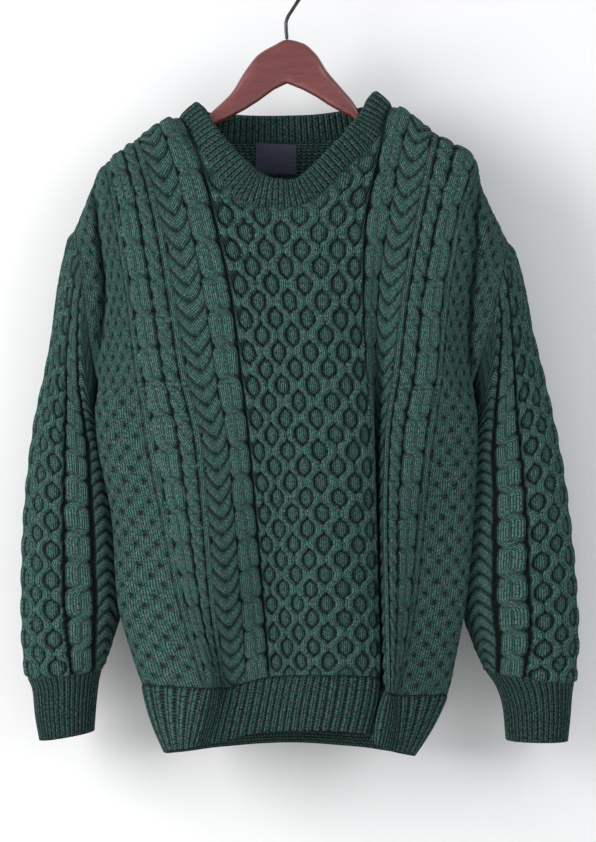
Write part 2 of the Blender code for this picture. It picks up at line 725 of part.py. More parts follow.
def ring_point(table, q, v):
    """A tube of flattened rings: q runs 0 to 2 round from the outer line over the front."""
    rows = len(table)
    knots = np.arange(rows)
    value = [smooth(knots, column(table, k), v) for k in range(6)]
    ox, oz, ix, iz, cy, ry = value
    angle = math.pi * q
    c, s = np.cos(angle), np.sin(angle)
    c = np.sign(c) * np.abs(c) ** 0.9
    s = np.sign(s) * np.abs(s) ** 0.9
    x = 0.5 * (ox + ix) + 0.5 * (ox - ix) * c
    z = 0.5 * (oz + iz) + 0.5 * (oz - iz) * c
    return np.stack([x, cy - ry * s, z], axis=-1)


def sleeve_point(table, ring, q, v):
    """The sleeve's surface: the armhole ring fading into the tube's own rings."""
    points, normals, keys = ring
    closed_keys = np.append(keys, 2.0)
    around = np.mod(q, 2.0)
    seam = np.stack([np.interp(around, closed_keys, np.append(points[:, k], points[0, k]))
                     for k in range(3)], axis=-1)
    facing = np.stack([np.interp(around, closed_keys, np.append(normals[:, k], normals[0, k]))
                       for k in range(3)], axis=-1)
    offset = seam - ring_point(table, q, np.zeros_like(v))
    fade = 1 - ease(v / 1.3)
    behind = 0.2 + 0.8 * np.clip(-np.sin(math.pi * q), 0, 1)
    puff = HEAD_PUFF * behind * np.sin(math.pi * np.clip(v / 1.3, 0, 1))
    return ring_point(table, q, v) + offset * fade[..., None] + facing * puff[..., None]


def sleeve_normal(table, ring, q, v, side):
    """Outward direction of the sleeve."""
    e = 0.02
    top = len(table) - 1.0
    round_ = sleeve_point(table, ring, q + e, v) - sleeve_point(table, ring, q - e, v)
    v0, v1 = np.clip(v - 0.1, 0, top), np.clip(v + 0.1, 0, top)
    down = sleeve_point(table, ring, q, v1) - sleeve_point(table, ring, q, v0)
    return unit(np.cross(round_, down)) * side


def sleeve_lengths(table):
    """Knitted length down the outer line at each ring of the table."""
    steps = np.hypot(np.diff(column(table, 0)), np.diff(column(table, 1)))
    return np.concatenate([[0.0], np.cumsum(steps)])


def make_sleeve(name, side, table):
    """One sleeve: an open tube from the armhole to the cuff."""
    ring = armhole(side)
    points, normals, keys = ring
    lengths = sleeve_lengths(table)
    rows = int(round(lengths[-1] / ROW))
    comb = [c for c in SLEEVE_COLUMNS if c < COMB_EDGE]
    beyond = [c for c in SLEEVE_COLUMNS if c > COMB_EDGE]

    def stations(v):
        """Knitted distances round the sleeve, from one edge of the honeycomb right round."""
        girth = float(smooth(np.arange(len(table)), column(table, 6), np.array([v]))[0])
        plain = [beyond[-1] + (girth - beyond[-1]) * p for p in SLEEVE_PLAIN]
        half = beyond + plain
        s = [-c for c in reversed(comb)] + comb + half + [girth] + [-h for h in reversed(half)]
        s = np.array(s)
        wrapped = np.arange(len(s)) >= 2 * len(comb) + len(half) + 1
        return s, np.where(wrapped, 2.0 + s / girth, s / girth)

    def place(s, q, v, length):
        spot = np.full_like(q, v)
        base = sleeve_point(table, ring, q, spot)
        out = sleeve_normal(table, ring, q, spot, side)
        return base, out, sleeve_knit(s, np.full_like(s, length)) * ease(length / EDGE_FADE)

    def station_of(length):
        return float(np.interp(length, lengths, np.arange(len(table))))

    def row(length, inside=False):
        v = station_of(length)
        s, q = stations(v)
        if inside:
            s, q = s[::2], q[::2]
        base, out, lift = place(s, q, v, length)
        shift = np.full_like(lift, -WALL) if inside else lift
        return chain(base + out * shift[:, None], q, length)

    start = int(np.searchsorted(keys, 2.0 + stations(0.0)[1][0]))
    order = np.roll(np.arange(len(keys)), len(keys) - start)
    points, normals = points[order], normals[order]
    turned = np.where(np.arange(len(keys)) < len(keys) - start, keys[order] - 2.0, keys[order])
    ahead = unit(np.roll(points, -1, axis=0) - np.roll(points, 1, axis=0))
    away = unit(np.cross(ahead, normals)) * -side
    step = lengths[-1] / rows
    marks = [step * (k + 1) for k in range(rows - 1)] + [lengths[-1] - SEAM / 2]
    outer = [chain(points + away * ARMHOLE_GAP, turned, 0.0)] + [row(m) for m in marks]
    inner = [chain(points + away * (INNER_INSET + 2 * ARMHOLE_GAP) - normals * WALL, turned, 0.0)]
    inner += [row(m, True) for m in marks[:-1:2]] + [row(lengths[-1] - INNER_INSET, True)]

    def middles(i):
        if i == 0:
            return []
        length = 0.5 * (marks[i - 1] + marks[i])
        v = station_of(length)
        s, q = stations(v)
        count = 2 * len(comb) - 1
        s, q = 0.5 * (s[:count] + s[1:count + 1]), 0.5 * (q[:count] + q[1:count + 1])
        base, out, lift = place(s, q, v, length)
        return (base + out * lift[:, None]).tolist()

    return wall(name, outer, inner, 2.0, COLOURS["sleeve"], middles)


def make_cuff(name, side, table):
    """The rib at the wrist, one ridge and one furrow a rib."""
    fine = np.linspace(0, 2, 2 * CUFF_RIBS, endpoint=False)

    def row(q, v, lift):
        spot = np.full_like(q, v)
        base = ring_point(table, q, spot)
        e = 0.02
        round_ = ring_point(table, q + e, spot) - ring_point(table, q - e, spot)
        low, high = np.clip(spot - 0.1, 0, 3), np.clip(spot + 0.1, 0, 3)
        down = ring_point(table, q, high) - ring_point(table, q, low)
        out = unit(np.cross(round_, down)) * side
        return chain(base + out * lift[:, None], q, v)

    lift = np.where(np.arange(len(fine)) % 2 == 0, 0.1, 1.5)
    outer = [row(fine, v, lift) for v in (0.03, 1.2, 3.0)]
    coarse = np.linspace(0, 2, 20, endpoint=False)
    inner = [row(coarse, v, np.full_like(coarse, -WALL)) for v in (0.1, 1.0, 3.0)]
    return wall(name, outer, inner, 2.0, COLOURS["cuff"])


def neck_ring(front_columns, back_columns):
    """Seam points round the neck: across the front left to right, then back along the back."""
    pieces = []
    for name, columns in (("front", front_columns), ("back", back_columns)):
        a = np.array([-NECK_A] + [c for c in columns if abs(c) < NECK_A] + [NECK_A])
        b = panel_length(PANELS[name], a)
        pieces.append((panel_point(PANELS[name], a, b), panel_normal(name, a, b - 4.0)))
    return [np.concatenate([pieces[0][k], pieces[1][k][::-1][1:-1]]) for k in (0, 1)]


def make_neckband(points, normals):
    """A ring of rib folded double: up from the seam, over a round top and down inside."""
    closed = np.vstack([points, points[:1]])
    steps = np.linalg.norm(np.diff(closed, axis=0), axis=1)
    keys = np.concatenate([[0.0], np.cumsum(steps)])
    around = keys[-1]
    ribs = int(round(around / NECK_RIB))
    fine = np.linspace(0, around, 2 * ribs, endpoint=False)

    facing = np.vstack([normals, normals[:1]])

    def seam_at(k):
        return np.stack([np.interp(k, keys, closed[:, c]) for c in range(3)], axis=-1)

    def facing_at(k):
        near = [np.mod(k + d, around) for d in (-24.0, -12.0, 0.0, 12.0, 24.0)]
        return unit(sum(np.stack([np.interp(n, keys, facing[:, c]) for c in range(3)], axis=-1)
                        for n in near))

    def frame_at(k):
        base = seam_at(k)
        ahead = unit(seam_at(np.mod(k + 14.0, around)) - seam_at(np.mod(k - 14.0, around)))
        away = unit(np.cross(facing_at(k), ahead))
        lean = NECK_LEAN * (1 - away[:, 2:] ** 2)
        rise = away + np.array([0.0, 0.0, 1.0]) * lean
        rise = unit(rise - ahead * np.sum(rise * ahead, axis=1, keepdims=True))
        return base, rise, unit(np.cross(ahead, rise))

    def row(k, up, off, lift, at):
        base, rise, out = frame_at(k)
        return chain(base + rise * up + out * (off + lift)[:, None], k, at)

    ripple = np.where(np.arange(len(fine)) % 2 == 0, 0.0, 1.5)
    half = NECK_THICK / 2
    seam_keys = keys[:-1]
    profile = ((7.0, half * 0.5, 1.0), (NECK_RISE - 4.0, half, 1.0), (NECK_RISE, 0.0, 0.3))
    outer = [row(seam_keys, NECK_GAP, np.full_like(seam_keys, 0.0), 0.0, 0)]
    outer += [row(fine, up, np.full_like(fine, off), ripple * s, i + 1)
              for i, (up, off, s) in enumerate(profile)]
    inside = np.linspace(0, around, ribs, endpoint=False)
    inner = [row(seam_keys, NECK_GAP + 0.3, np.full_like(seam_keys, -half * 0.6), 0.0, 0)]
    inner += [row(inside, NECK_RISE - 5.0, np.full_like(inside, -half), 0.0, 2)]
    body = Wall()
    outside = body.skin(outer, around)
    under = body.skin(inner, around, None, flip=True)
    body.close(outside, under, outer, inner, True)
    return solid("neckband", body.points, body.faces, COLOURS["band"], 0.95)


def make_label():
    """A bare woven label lying inside the back, made from the back's points moved in."""
    grid_a = np.linspace(-60, 60, 121)
    across = np.linspace(0, 1, 6)
    points = []
    for row, share in enumerate((0.0, 0.5, 1.0)):
        z = LABEL["top"] + (LABEL["bottom"] - LABEL["top"]) * share
        xs, _ = back_section(grid_a, np.full_like(grid_a, z))
        x = LABEL["left"] + (LABEL["right"] - LABEL["left"]) * across
        a = np.interp(x, xs, grid_a)
        _, y = back_section(a, np.full_like(a, z))
        tilt = LABEL["tilt"] * (0.5 - across)
        points.append(np.stack([x, y - WALL - LABEL["off"], z + tilt], axis=-1))
    near = np.array(points)
    far = near - np.array([0, LABEL["thick"], 0])
    count = near.shape[1]
    total = near.shape[0] * count
    faces = []
    for r in range(near.shape[0] - 1):
        for c in range(count - 1):
            p = r * count + c
            faces += [(p, p + 1, p + count), (p + 1, p + count + 1, p + count)]
            q = p + total
            faces += [(q, q + count, q + 1), (q + 1, q + count, q + count + 1)]
    rim = list(range(count)) + [count * (r + 1) - 1 for r in range(1, near.shape[0])]
    last = total - count
    rim += list(range(total - 2, last - 1, -1)) + [count * r for r in range(near.shape[0] - 2, 0, -1)]
    for i, p in enumerate(rim):
        n = rim[(i + 1) % len(rim)]
        faces += [(p, p + total, n), (n, p + total, n + total)]
    both = np.vstack([near.reshape(-1, 3), far.reshape(-1, 3)])
    return solid("neck_label", both.tolist(), faces, COLOURS["label"], 0.75)


def make_hanger():
    """Contoured wooden arms, lofted from one end to the other."""
    turns = 12
    points = []
    for x, top, bottom, y, half in HANGER:
        middle = 0.5 * (top + bottom)
        tall = 0.5 * (top - bottom)
        for k in range(turns):
            angle = 2 * math.pi * k / turns
            c, s = math.cos(angle), math.sin(angle)
            points.append((x, y + half * math.copysign(abs(c) ** 0.7, c),
                           middle + tall * math.copysign(abs(s) ** 0.7, s)))
    faces = []
    for r in range(len(HANGER) - 1):
        for k in range(turns):
            n = (k + 1) % turns
            p = r * turns
            faces.append((p + k, p + n, p + turns + k))
            faces.append((p + n, p + turns + n, p + turns + k))
    last = (len(HANGER) - 1) * turns
    for k in range(1, turns - 1):
        faces.append((0, k + 1, k))
        faces.append((last, last + k, last + k + 1))
    return solid("hanger", points, faces, COLOURS["wood"], 0.3)


def make_hook():
    """Bent wire: stem, then a loop open to the left."""
    path = [(x, z) for x, z in HOOK_STEM]
    path[0] = (path[0][0], path[0][1] + SEAM)
    for step in range(HOOK_STEPS + 1):
        angle = math.radians(HOOK_FROM + (HOOK_TO - HOOK_FROM) * step / HOOK_STEPS)
        path.append((HOOK_CENTRE[0] + HOOK_RADIUS * math.cos(angle),
                     HOOK_CENTRE[1] + HOOK_RADIUS * math.sin(angle)))
    curve = bpy.data.curves.new("hook", "CURVE")
    curve.dimensions = "3D"
    curve.bevel_depth = WIRE * MM
    curve.bevel_resolution = 2
    curve.use_fill_caps = True
    line = curve.splines.new("POLY")
    line.points.add(len(path) - 1)
    for point, (x, z) in zip(line.points, path):
        point.co = (x * MM, 0.0, z * MM, 1.0)
    ob = bpy.data.objects.new("hook", curve)
    ob.data.materials.append(material("hook", COLOURS["wire"], 0.38, 1.0))
    return ob


def main():
    for ob in list(bpy.data.objects):
        bpy.data.objects.remove(ob)
    group = bpy.data.collections.new(GARMENT)
    bpy.context.scene.collection.children.link(group)
    front, front_columns = make_panel("front", front_knit, FRONT_COLUMNS, FRONT_MIDDLES)
    back, back_columns = make_panel("back", back_knit, BACK_COLUMNS, BACK_MIDDLES)
    objects = [front, back,
               make_hem("hem_rib_front", "front", front_columns),
               make_hem("hem_rib_back", "back", back_columns),
               make_sleeve("sleeve_left", -1.0, SLEEVE_LEFT),
               make_sleeve("sleeve_right", 1.0, SLEEVE_RIGHT),
               make_cuff("cuff_left", -1.0, CUFF_LEFT),
               make_cuff("cuff_right", 1.0, CUFF_RIGHT),
               make_neckband(*neck_ring(front_columns, back_columns)),
               make_label(), make_hanger(), make_hook()]
    for ob in objects:
        group.objects.link(ob)


main()
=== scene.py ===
"""Cable-knit crewneck sweater on a wooden hanger: knitting, wood, wire and light.

Sizes are in millimetres and become metres when a mesh is made. Each cloth piece
is a wall worked out from two parameters: a, the knitted distance across, and b,
the knitted distance up or along. The outer skin is the worn form moved outwards
by the knit's lift, and the inner skin is the form moved inwards by the wall. The
outer skin's map counts stitches across and rows up, and the yarn follows it.
"""
import math

import bpy
import numpy as np
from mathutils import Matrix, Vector

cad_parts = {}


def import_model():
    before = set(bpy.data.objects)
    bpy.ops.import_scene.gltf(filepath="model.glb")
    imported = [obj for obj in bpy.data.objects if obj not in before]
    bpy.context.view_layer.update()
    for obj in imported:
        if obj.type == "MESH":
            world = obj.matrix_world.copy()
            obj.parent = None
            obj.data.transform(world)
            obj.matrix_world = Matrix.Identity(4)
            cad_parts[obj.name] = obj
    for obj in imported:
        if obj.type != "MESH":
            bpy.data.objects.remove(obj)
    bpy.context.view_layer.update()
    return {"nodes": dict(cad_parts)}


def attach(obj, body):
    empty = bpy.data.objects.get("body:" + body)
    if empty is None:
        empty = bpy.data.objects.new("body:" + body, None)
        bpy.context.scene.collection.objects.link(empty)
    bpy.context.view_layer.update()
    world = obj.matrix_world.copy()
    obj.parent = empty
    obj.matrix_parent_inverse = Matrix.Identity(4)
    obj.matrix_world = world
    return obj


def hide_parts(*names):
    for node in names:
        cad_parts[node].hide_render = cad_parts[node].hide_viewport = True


MM = 0.001
# cloth: thickness, gap at a seam, and how far the inner skin stops short of an edge
WALL = 3.0
SEAM = 0.3
INNER_INSET = 2.0
# one inner point to this many outer steps
COARSE = 4
# flat sizes: height of the ribs, width of a hem and its share of the panel's, once and half
# round a cuff, then width and length of the neckband and the label
RIB_TALL = 66.0
HEM_WIDE = 375.0
HEM_DRAWN = 0.7
CUFF_GIRTH = 201.0
CUFF_HALF = 100.0
NECK_CUT = (560.0, 62.0)
LABEL_CUT = (46.0, 33.0)

# a panel's height at knitted distance b up: HEM_LEVEL + GAIN b + GAIN_RISE b^2, and the hem's
# dip is gone after LEVEL_AFTER
HEM_LEVEL = -785.0
GAIN = 0.906
GAIN_RISE = 0.0002335
LEVEL_AFTER = 520.0
# height of the round over the shoulder, y of the shoulder seam, foot and depth of the armhole
CAP = 26.0
SEAM_LINE_Y = 2.0
UNDERARM_Z = -458.0
ARMHOLE_DEPTH = 40.0
# steps along a half of an armhole's or the neck's seam
SEAM_STEPS = 60
# half a panel's knitted width, where the outer skin stops, half the neck's width
HALF = 268.0
EDGE = HALF - 0.25
NECK_A = 75.0
# front and back share one outward direction this near the side seam
SIDE_BLEND = 6.0
# the back's section: share that is rounded, fullness, and how far below its top it begins
BACK_SPREAD = 0.62
BACK_FULL = 0.62
BACK_BLEND = 80.0

# across the front, knitted distance from the centre of each named line
LINES = dict(seam_l=-268, edge_l=-245, rib_l=-183, ladder_l=-133, comb_l=-68, centre=0,
             comb_r=68, fold_r=100, ladder_r=133, rib_r=183, edge_r=245, seam_r=268)

# columns: height, then x of each named line
FRONT_X = (
    (-784, -157, -162, -88, -71, -16, 38, 98, 103, 111, 122, 180, 174),
    (-697, -178, -186, -113, -81, -23, 34, 95, 101, 109, 137, 196, 187),
    (-610, -184, -192, -131, -88, -30, 30, 92, 99, 107, 145, 204, 194),
    (-522, -196, -208, -148, -96, -38, 25, 88, 97, 109, 154, 208, 197),
    (-490, -204, -210, -153, -103, -41, 22, 86, 97, 112, 159, 207, 201),
    (-458, -212, -203, -159, -111, -45, 19, 83, 97, 117, 164, 199, 208),
    (-370, -222, -204, -171, -125, -56, 11, 79, 99, 127, 172, 210, 229),
    (-291, -235, -219, -183, -139, -73, 4, 81, 110, 141, 185, 229, 244),
    (-222, -250, -235, -196, -157, -89, 2, 94, 122, 155, 205, 232, 240),
    (-160, -268, -253, -217, -178, -114, -5, 106, 138, 169, 218, 248, 257),
)

# columns: height, then y of each named line
FRONT_Y = (
    (-784, 0, -15, -72, -52, -50, -62, -45, -30, -55, -48, -12, 0),
    (-697, 0, -12, -66, -70, -46, -68, -42, -16, -50, -34, -10, 0),
    (-610, 2, -10, -52, -68, -54, -72, -50, -22, -52, -36, -10, 2),
    (-522, 4, -12, -50, -66, -62, -72, -56, -30, -52, -44, -12, 4),
    (-490, 4, -16, -51, -66, -65, -72, -57, -34, -54, -47, -16, 4),
    (-458, 4, -24, -52, -66, -68, -72, -58, -40, -56, -50, -26, 4),
    (-370, 4, -34, -52, -62, -66, -66, -58, -50, -56, -52, -34, 4),
    (-291, 2, -26, -46, -54, -56, -52, -52, -50, -52, -46, -26, 2),
    (-222, 2, -22, -34, -40, -38, -48, -38, -36, -38, -34, -22, 2),
    (-160, 2, -18, -26, -30, -22, -42, -22, -26, -30, -26, -18, 2),
)

# columns: knitted distance, height of the top edge, share of the shoulder's round
SHOULDER_LEFT = (
    (-268, -287, 1), (-245, -265, 1), (-225, -246, 1), (-200, -223, 1), (-183, -215, 1),
    (-133, -191, 1), (-75, -165, 1),
)
SHOULDER_RIGHT = (
    (75, -153, 1), (133, -184, 1), (183, -213, 1), (203, -236, 1), (225, -257, 1),
    (245, -277, 1), (268, -300, 1),
)
FRONT_NECK = (
    (-69, -200, 0), (-60, -233, 0), (-42, -261, 0), (-15, -268, 0), (0, -268, 0),
    (15, -264, 0), (29, -250, 0), (49, -218, 0), (68, -190, 0),
)
BACK_NECK = (
    (-68, -178, 0), (-52, -184, 0), (-15, -187, 0), (15, -186, 0), (52, -178, 0), (68, -170, 0),
)
FRONT_TOP = SHOULDER_LEFT + FRONT_NECK + SHOULDER_RIGHT
BACK_TOP = SHOULDER_LEFT + BACK_NECK + SHOULDER_RIGHT

# columns: knitted distance, height where panel meets hem, then x, y, z of the hem's lower edge
HEM_FRONT = (
    (-268, -794, -133, 4, -871), (-245, -791, -135, -8, -868), (-183, -790, -102, -64, -855),
    (-133, -792, -85, -58, -853), (-68, -780, -28, -48, -841), (0, -777, 27, -56, -838),
    (68, -781, 86, -44, -843), (100, -790, 92, -34, -849), (133, -797, 100, -52, -855),
    (183, -800, 114, -46, -862), (245, -803, 139, -10, -872), (268, -800, 138, 4, -873),
)
HEM_BACK = (
    (-268, -794, -133, 4, -871), (-225, -797, -120, 34, -874), (-133, -800, -72, 52, -870),
    (0, -798, 2, 56, -866), (133, -800, 76, 52, -870), (225, -800, 124, 34, -874),
    (268, -800, 138, 4, -873),
)

# columns: height, y of the back's middle
BACK_DEPTH = (
    (-784, 52), (-697, 55), (-610, 57), (-522, 58), (-458, 58), (-370, 55), (-291, 50),
    (-222, 42), (-160, 34),
)

# soft troughs of the front: knitted distance at two heights, half width, depth, fade
FRONT_FOLDS = (
    dict(name="left arm crease", a1=-212, z1=-232, a2=-246, z2=-400, half=16, depth=13, fade=40),
    dict(name="right arm crease", a1=203, z1=-255, a2=244, z2=-430, half=16, depth=13, fade=40),
)
BACK_FOLDS = (
    dict(name="left drape", a1=-120, z1=-330, a2=-100, z2=-800, half=60, depth=-11, fade=120),
    dict(name="right drape", a1=105, z1=-300, a2=135, z2=-800, half=55, depth=-12, fade=120),
)

# columns: outer x, outer z, inner x, inner z, y of the middle, half depth, half girth
SLEEVE_LEFT = (
    (-235, -287, -212, -458, 4, 40, 215),
    (-254, -380, -213, -492, 22, 40, 172),
    (-268, -450, -207, -520, 28, 40, 152),
    (-280, -506, -199, -550, 28, 40, 145),
    (-289, -579, -193, -600, 27, 39, 143),
    (-293, -640, -188, -652, 26, 39, 143),
    (-294, -701, -187, -702, 25, 38, 141),
    (-293, -751, -198, -748, 24, 36, 130),
    (-289, -789, -210, -780, 23, 33, 116),
)
SLEEVE_RIGHT = (
    (244, -300, 208, -458, 4, 40, 205),
    (264, -380, 209, -492, 22, 40, 172),
    (280, -440, 206, -520, 28, 40, 155),
    (293, -495, 202, -551, 28, 40, 148),
    (305, -556, 201, -590, 28, 39, 146),
    (313, -617, 198, -640, 27, 39, 146),
    (319, -679, 195, -698, 26, 38, 146),
    (322, -740, 208, -746, 25, 36, 138),
    (319, -795, 224, -782, 24, 33, 120),
)
CUFF_LEFT = (
    (-289, -789, -210, -780, 23, 33),
    (-284, -802, -213, -793, 23, 30),
    (-281, -830, -216, -820, 22, 28),
    (-276, -858, -218, -848, 21, 27),
)
CUFF_RIGHT = (
    (319, -795, 224, -782, 24, 33),
    (317, -808, 235, -798, 23, 30),
    (315, -832, 243, -824, 22, 28),
    (312, -859, 246, -858, 21, 27),
)
ARMS = dict(
    left=dict(out=-1.0, sleeve=SLEEVE_LEFT, cuff=CUFF_LEFT),
    right=dict(out=1.0, sleeve=SLEEVE_RIGHT, cuff=CUFF_RIGHT),
)

# stitches: width and height of one, half and whole height of a honeycomb cell, cord spacing
WALE = 4.35
COURSE = 3.3
ROW = 17.1
CELL = 2.0 * ROW
CORD = 17.4
# bands: distance of the middle, half width, half width of a strand, repeat, share of it that
# crosses, height, and shift of the stitches
CABLES = (
    dict(name="wide cable", at=86.0, half=12.8, strand=6.5, pitch=CELL, cross=0.46, height=4.9,
         odd=0.5),
    dict(name="outer cable", at=167.0, half=12.2, strand=6.2, pitch=CELL, cross=0.46, height=4.7,
         odd=0.5),
    dict(name="rope", at=146.0, half=8.6, strand=4.5, pitch=16.5, cross=1.0, height=4.2, odd=0.0),
)
LADDERS = (
    dict(name="inner rib", at=133.0, half=4.2, height=2.8),
    dict(name="outer rib", at=183.5, half=4.2, height=2.8),
)
CHEVRON = dict(at=114.0, half=14.6, pitch=ROW, slope=1.05, height=4.4)
# fullness of a knitted ridge: 2 is a half circle
RIDGE_FULL = 2.6
# honeycomb: half width, height of a cord, its swing and half width, height of the ground,
# squareness of the wave, and the room in which the ground rises
COMB = dict(half=69.6, height=5.6, swing=4.3, cord=4.7, ground=2.5, square=1.55, room=5.4)
# moss: where it starts, its repeat across and up, and its height
SEED = dict(start=188.0, across=17.4, up=23.1, height=2.8)
SLEEVE_CABLE = dict(at=67.0, half=11.2, strand=5.8, pitch=CELL, cross=0.46, height=4.2, odd=0.5)
SLEEVE_CHEVRON = dict(at=97.0, half=14.0, pitch=ROW, slope=1.05, height=4.0)
# the lift fades over this far from a sewn edge, and this far beside the steep neck edge
EDGE_FADE = 16.0
NECK_REACH = 10.0
# the deep fold presses its knitting flat between two heights
FOLD = dict(at=100.0, reach=30.0, below=-380.0, full=-470.0, flat=0.85)

# ribs: width of one at the hem and neck, number round a cuff, height, grid rows of a welt
HEM_RIB = 6.7
NECK_RIB = 7.0
CUFF_RIBS = 41
RIB_HEIGHT = 2.0
WELT_ROWS = 29
# a welt's top edge goes this share of its length behind the edge above, and this far in
TUCK = 0.045
TUCK_IN = 1.8

# sleeves: puff behind the armhole and how many table rows it reaches, gap to the seam,
# turn of the bands, fullness of the rings, grid round and down
HEAD_PUFF = 15.0
HEAD_REACH = 1.3
ARMHOLE_GAP = 0.9
SLEEVE_TURN = 12.0
RING_FULL = 0.9
SLEEVE_GRID = (4 * 56, 4 * 66 + 1)

# neckband: height on the table below, thickness, lean to upright, share of the rib's height
NECK_RISE = 29.0
NECK_THICK = 8.0
NECK_LEAN = 1.2
NECK_RIPPLE = 0.8
# rows round its section, and passes that soften its turn from shoulder to shoulder
NECK_ROWS = 45
NECK_SOFTEN = 60
# columns: share of the way round from the left shoulder over the front, width of the band
NECK_WIDE = (
    (0.0, 28.0), (0.08, 29.0), (0.112, 31.5), (0.144, 34.0), (0.176, 36.5), (0.19, 37.0),
    (0.207, 36.0), (0.223, 35.0), (0.239, 33.5), (0.255, 31.5), (0.28, 30.0), (0.40, 29.0),
    (0.43, 29.5), (0.447, 31.5), (0.463, 34.0), (0.49, 33.0), (0.52, 30.0), (0.56, 27.0),
    (0.60, 28.5), (0.95, 29.0), (1.0, 28.0),
)
# how steeply the band stands at the left and right shoulder, and how far that reaches
NECK_SHOULDER = dict(left=(0.80, 0.0, 0.60), right=(-0.78, 0.0, 0.62), reach=30.0)
# columns: share round the section, height, share of half the thickness, share of the ripple
NECK_PROFILE = (
    (0.0, -2.6, -0.45, 0.0), (0.07, 0.6, 0.1, 0.6), (0.14, 6.0, 0.6, 1.0), (0.30, 17.0, 0.95, 1.0),
    (0.42, 25.0, 1.0, 1.0), (0.50, 29.0, 0.0, 0.4), (0.58, 25.0, -1.0, 1.0),
    (0.72, 14.0, -0.9, 1.0), (0.90, 2.0, -0.75, 0.4), (1.0, -2.6, -0.45, 0.0),
)

# columns: x, top z, bottom z, y of the middle, half thickness
HANGER = (
    (-203, -232, -240, -4, 4.0),
    (-197, -227, -242, -4, 6.0),
    (-184, -214, -232, -4, 6.5),
    (-164, -201, -219, -3, 6.5),
    (-142, -191, -207, -2, 6.5),
    (-115, -180, -193, 0, 6.0),
    (-99, -173, -186, 0, 6.0),
    (-83, -157.5, -174, 0, 6.0),
    (-62, -137, -164, 0, 6.5),
    (-47, -113, -156, 0, 7.0),
    (-32, -94.5, -146.5, 0, 7.5),
    (-15, -84.5, -134, 0, 7.5),
    (-0.5, -78, -127, 0, 7.5),
    (17, -82, -134, 0, 7.5),
    (32, -94.5, -142, 0, 7.5),
    (44, -113, -150, 0, 7.0),
    (60, -132, -159, 0, 6.5),
    (72, -146, -165, 0, 6.0),
    (81, -160, -176, 0, 5.5),
    (93, -171, -184, 0, 5.5),
    (110, -177, -190, 0, 6.0),
    (144, -190, -206, -2, 6.5),
    (179, -205, -223, -3, 6.5),
    (198, -221, -237, -4, 6.0),
    (204, -227, -236, -4, 4.0),
)
# hook: wire's radius, then the loop's centre, radius and first and last angle, and the stem
WIRE = 2.0
HOOK_CENTRE = (-1.0, -18.5)
HOOK_RADIUS = 20.5
HOOK_FROM = -49.0
HOOK_TO = 196.0
HOOK_STEM = ((-0.5, -78.0), (-1.4, -68.0), (-1.6, -60.0), (0.5, -53.0), (4.5, -46.5), (9.0, -39.5))

TONE = dict(deep=(0.011, 0.033, 0.029), body=(0.029, 0.086, 0.076), bright=(0.050, 0.132, 0.118),
            teal=(0.016, 0.190, 0.168), fleck=(0.165, 0.118, 0.106), halo=(0.3, 0.55, 0.5))


def slopes(knots, values):
    """Slopes at the rows of a table, kept so that the curve never swings past a row."""
    rise = np.diff(values, axis=-1) / np.diff(knots)
    before = rise[..., :-1]
    after = rise[..., 1:]
    same = before * after > 0
    total = np.where(same, before + after, 1.0)
    inner = np.where(same, 2.0 * before * after / total, 0.0)
    return np.concatenate([rise[..., :1], inner, rise[..., -1:]], axis=-1)


def smooth(knots, values, at):
    """A smooth curve through the table rows, read at the given places."""
    knots = np.asarray(knots, float)
    values = np.asarray(values, float)
    at = np.asarray(at, float)
    slope = slopes(knots, values)
    low = np.clip(np.searchsorted(knots, at) - 1, 0, len(knots) - 2)
    span = knots[low + 1] - knots[low]
    s = (at - knots[low]) / span

    def pick(table, index):
        if table.ndim == 1:
            return table[index]
        return np.take_along_axis(table, index[..., None], -1)[..., 0]

    inside = np.clip(s, 0.0, 1.0)
    v0, v1 = pick(values, low), pick(values, low + 1)
    m0, m1 = pick(slope, low) * span, pick(slope, low + 1) * span
    s2, s3 = inside ** 2, inside ** 3
    curve = (2 * s3 - 3 * s2 + 1) * v0 + (s3 - 2 * s2 + inside) * m0
    curve = curve + (3 * s2 - 2 * s3) * v1 + (s3 - s2) * m1
    return curve + np.where(s < 0, s * m0, np.where(s > 1, (s - 1) * m1, 0.0))


def column(table, index):
    """One named column of a table as an array."""
    return np.array([row[index] for row in table], float)


def read(table, index, at):
    """One column of a table as a smooth curve over its first column."""
    return smooth(column(table, 0), column(table, index), at)


def by_height(table, z):
    """Every line's value at each height."""
    return np.stack([read(table, k, z) for k in range(1, len(table[0]))], -1)


def between(keys, rows, at):
    """Rows of points read at places between their keys, on straight lines."""
    return np.stack([np.interp(at, keys, rows[:, k]) for k in range(rows.shape[1])], -1)


def ease(t):
    """Soft step from 0 to 1."""
    t = np.clip(t, 0.0, 1.0)
    return t * t * (3 - 2 * t)


def trough(folds, a, z):
    """Depth added by the named folds, each a cosine trough along a leaning line."""
    depth = np.zeros_like(a)
    for fold in folds:
        share = (z - fold["z1"]) / (fold["z2"] - fold["z1"])
        middle = fold["a1"] + (fold["a2"] - fold["a1"]) * np.clip(share, -0.3, 1.3)
        across = np.clip(np.abs(a - middle) / fold["half"], 0, 1)
        start, end = (fold["z1"] - z) / fold["fade"], (z - fold["z2"]) / fold["fade"]
        length = ease(start + 1) * ease(end + 1)
        depth = depth + fold["depth"] * 0.5 * (1 + np.cos(math.pi * across)) * length
    return depth


def armhole_round(a, z):
    """How far out the armhole stands at this height, 0 at its ends and 1 half way."""
    top = np.where(a < 0, FRONT_TOP[0][1], FRONT_TOP[-1][1])
    middle = 0.5 * (top + UNDERARM_Z)
    half = 0.5 * (top - UNDERARM_Z)
    return np.sqrt(np.clip(1 - ((z - middle) / half) ** 2, 0, 1))


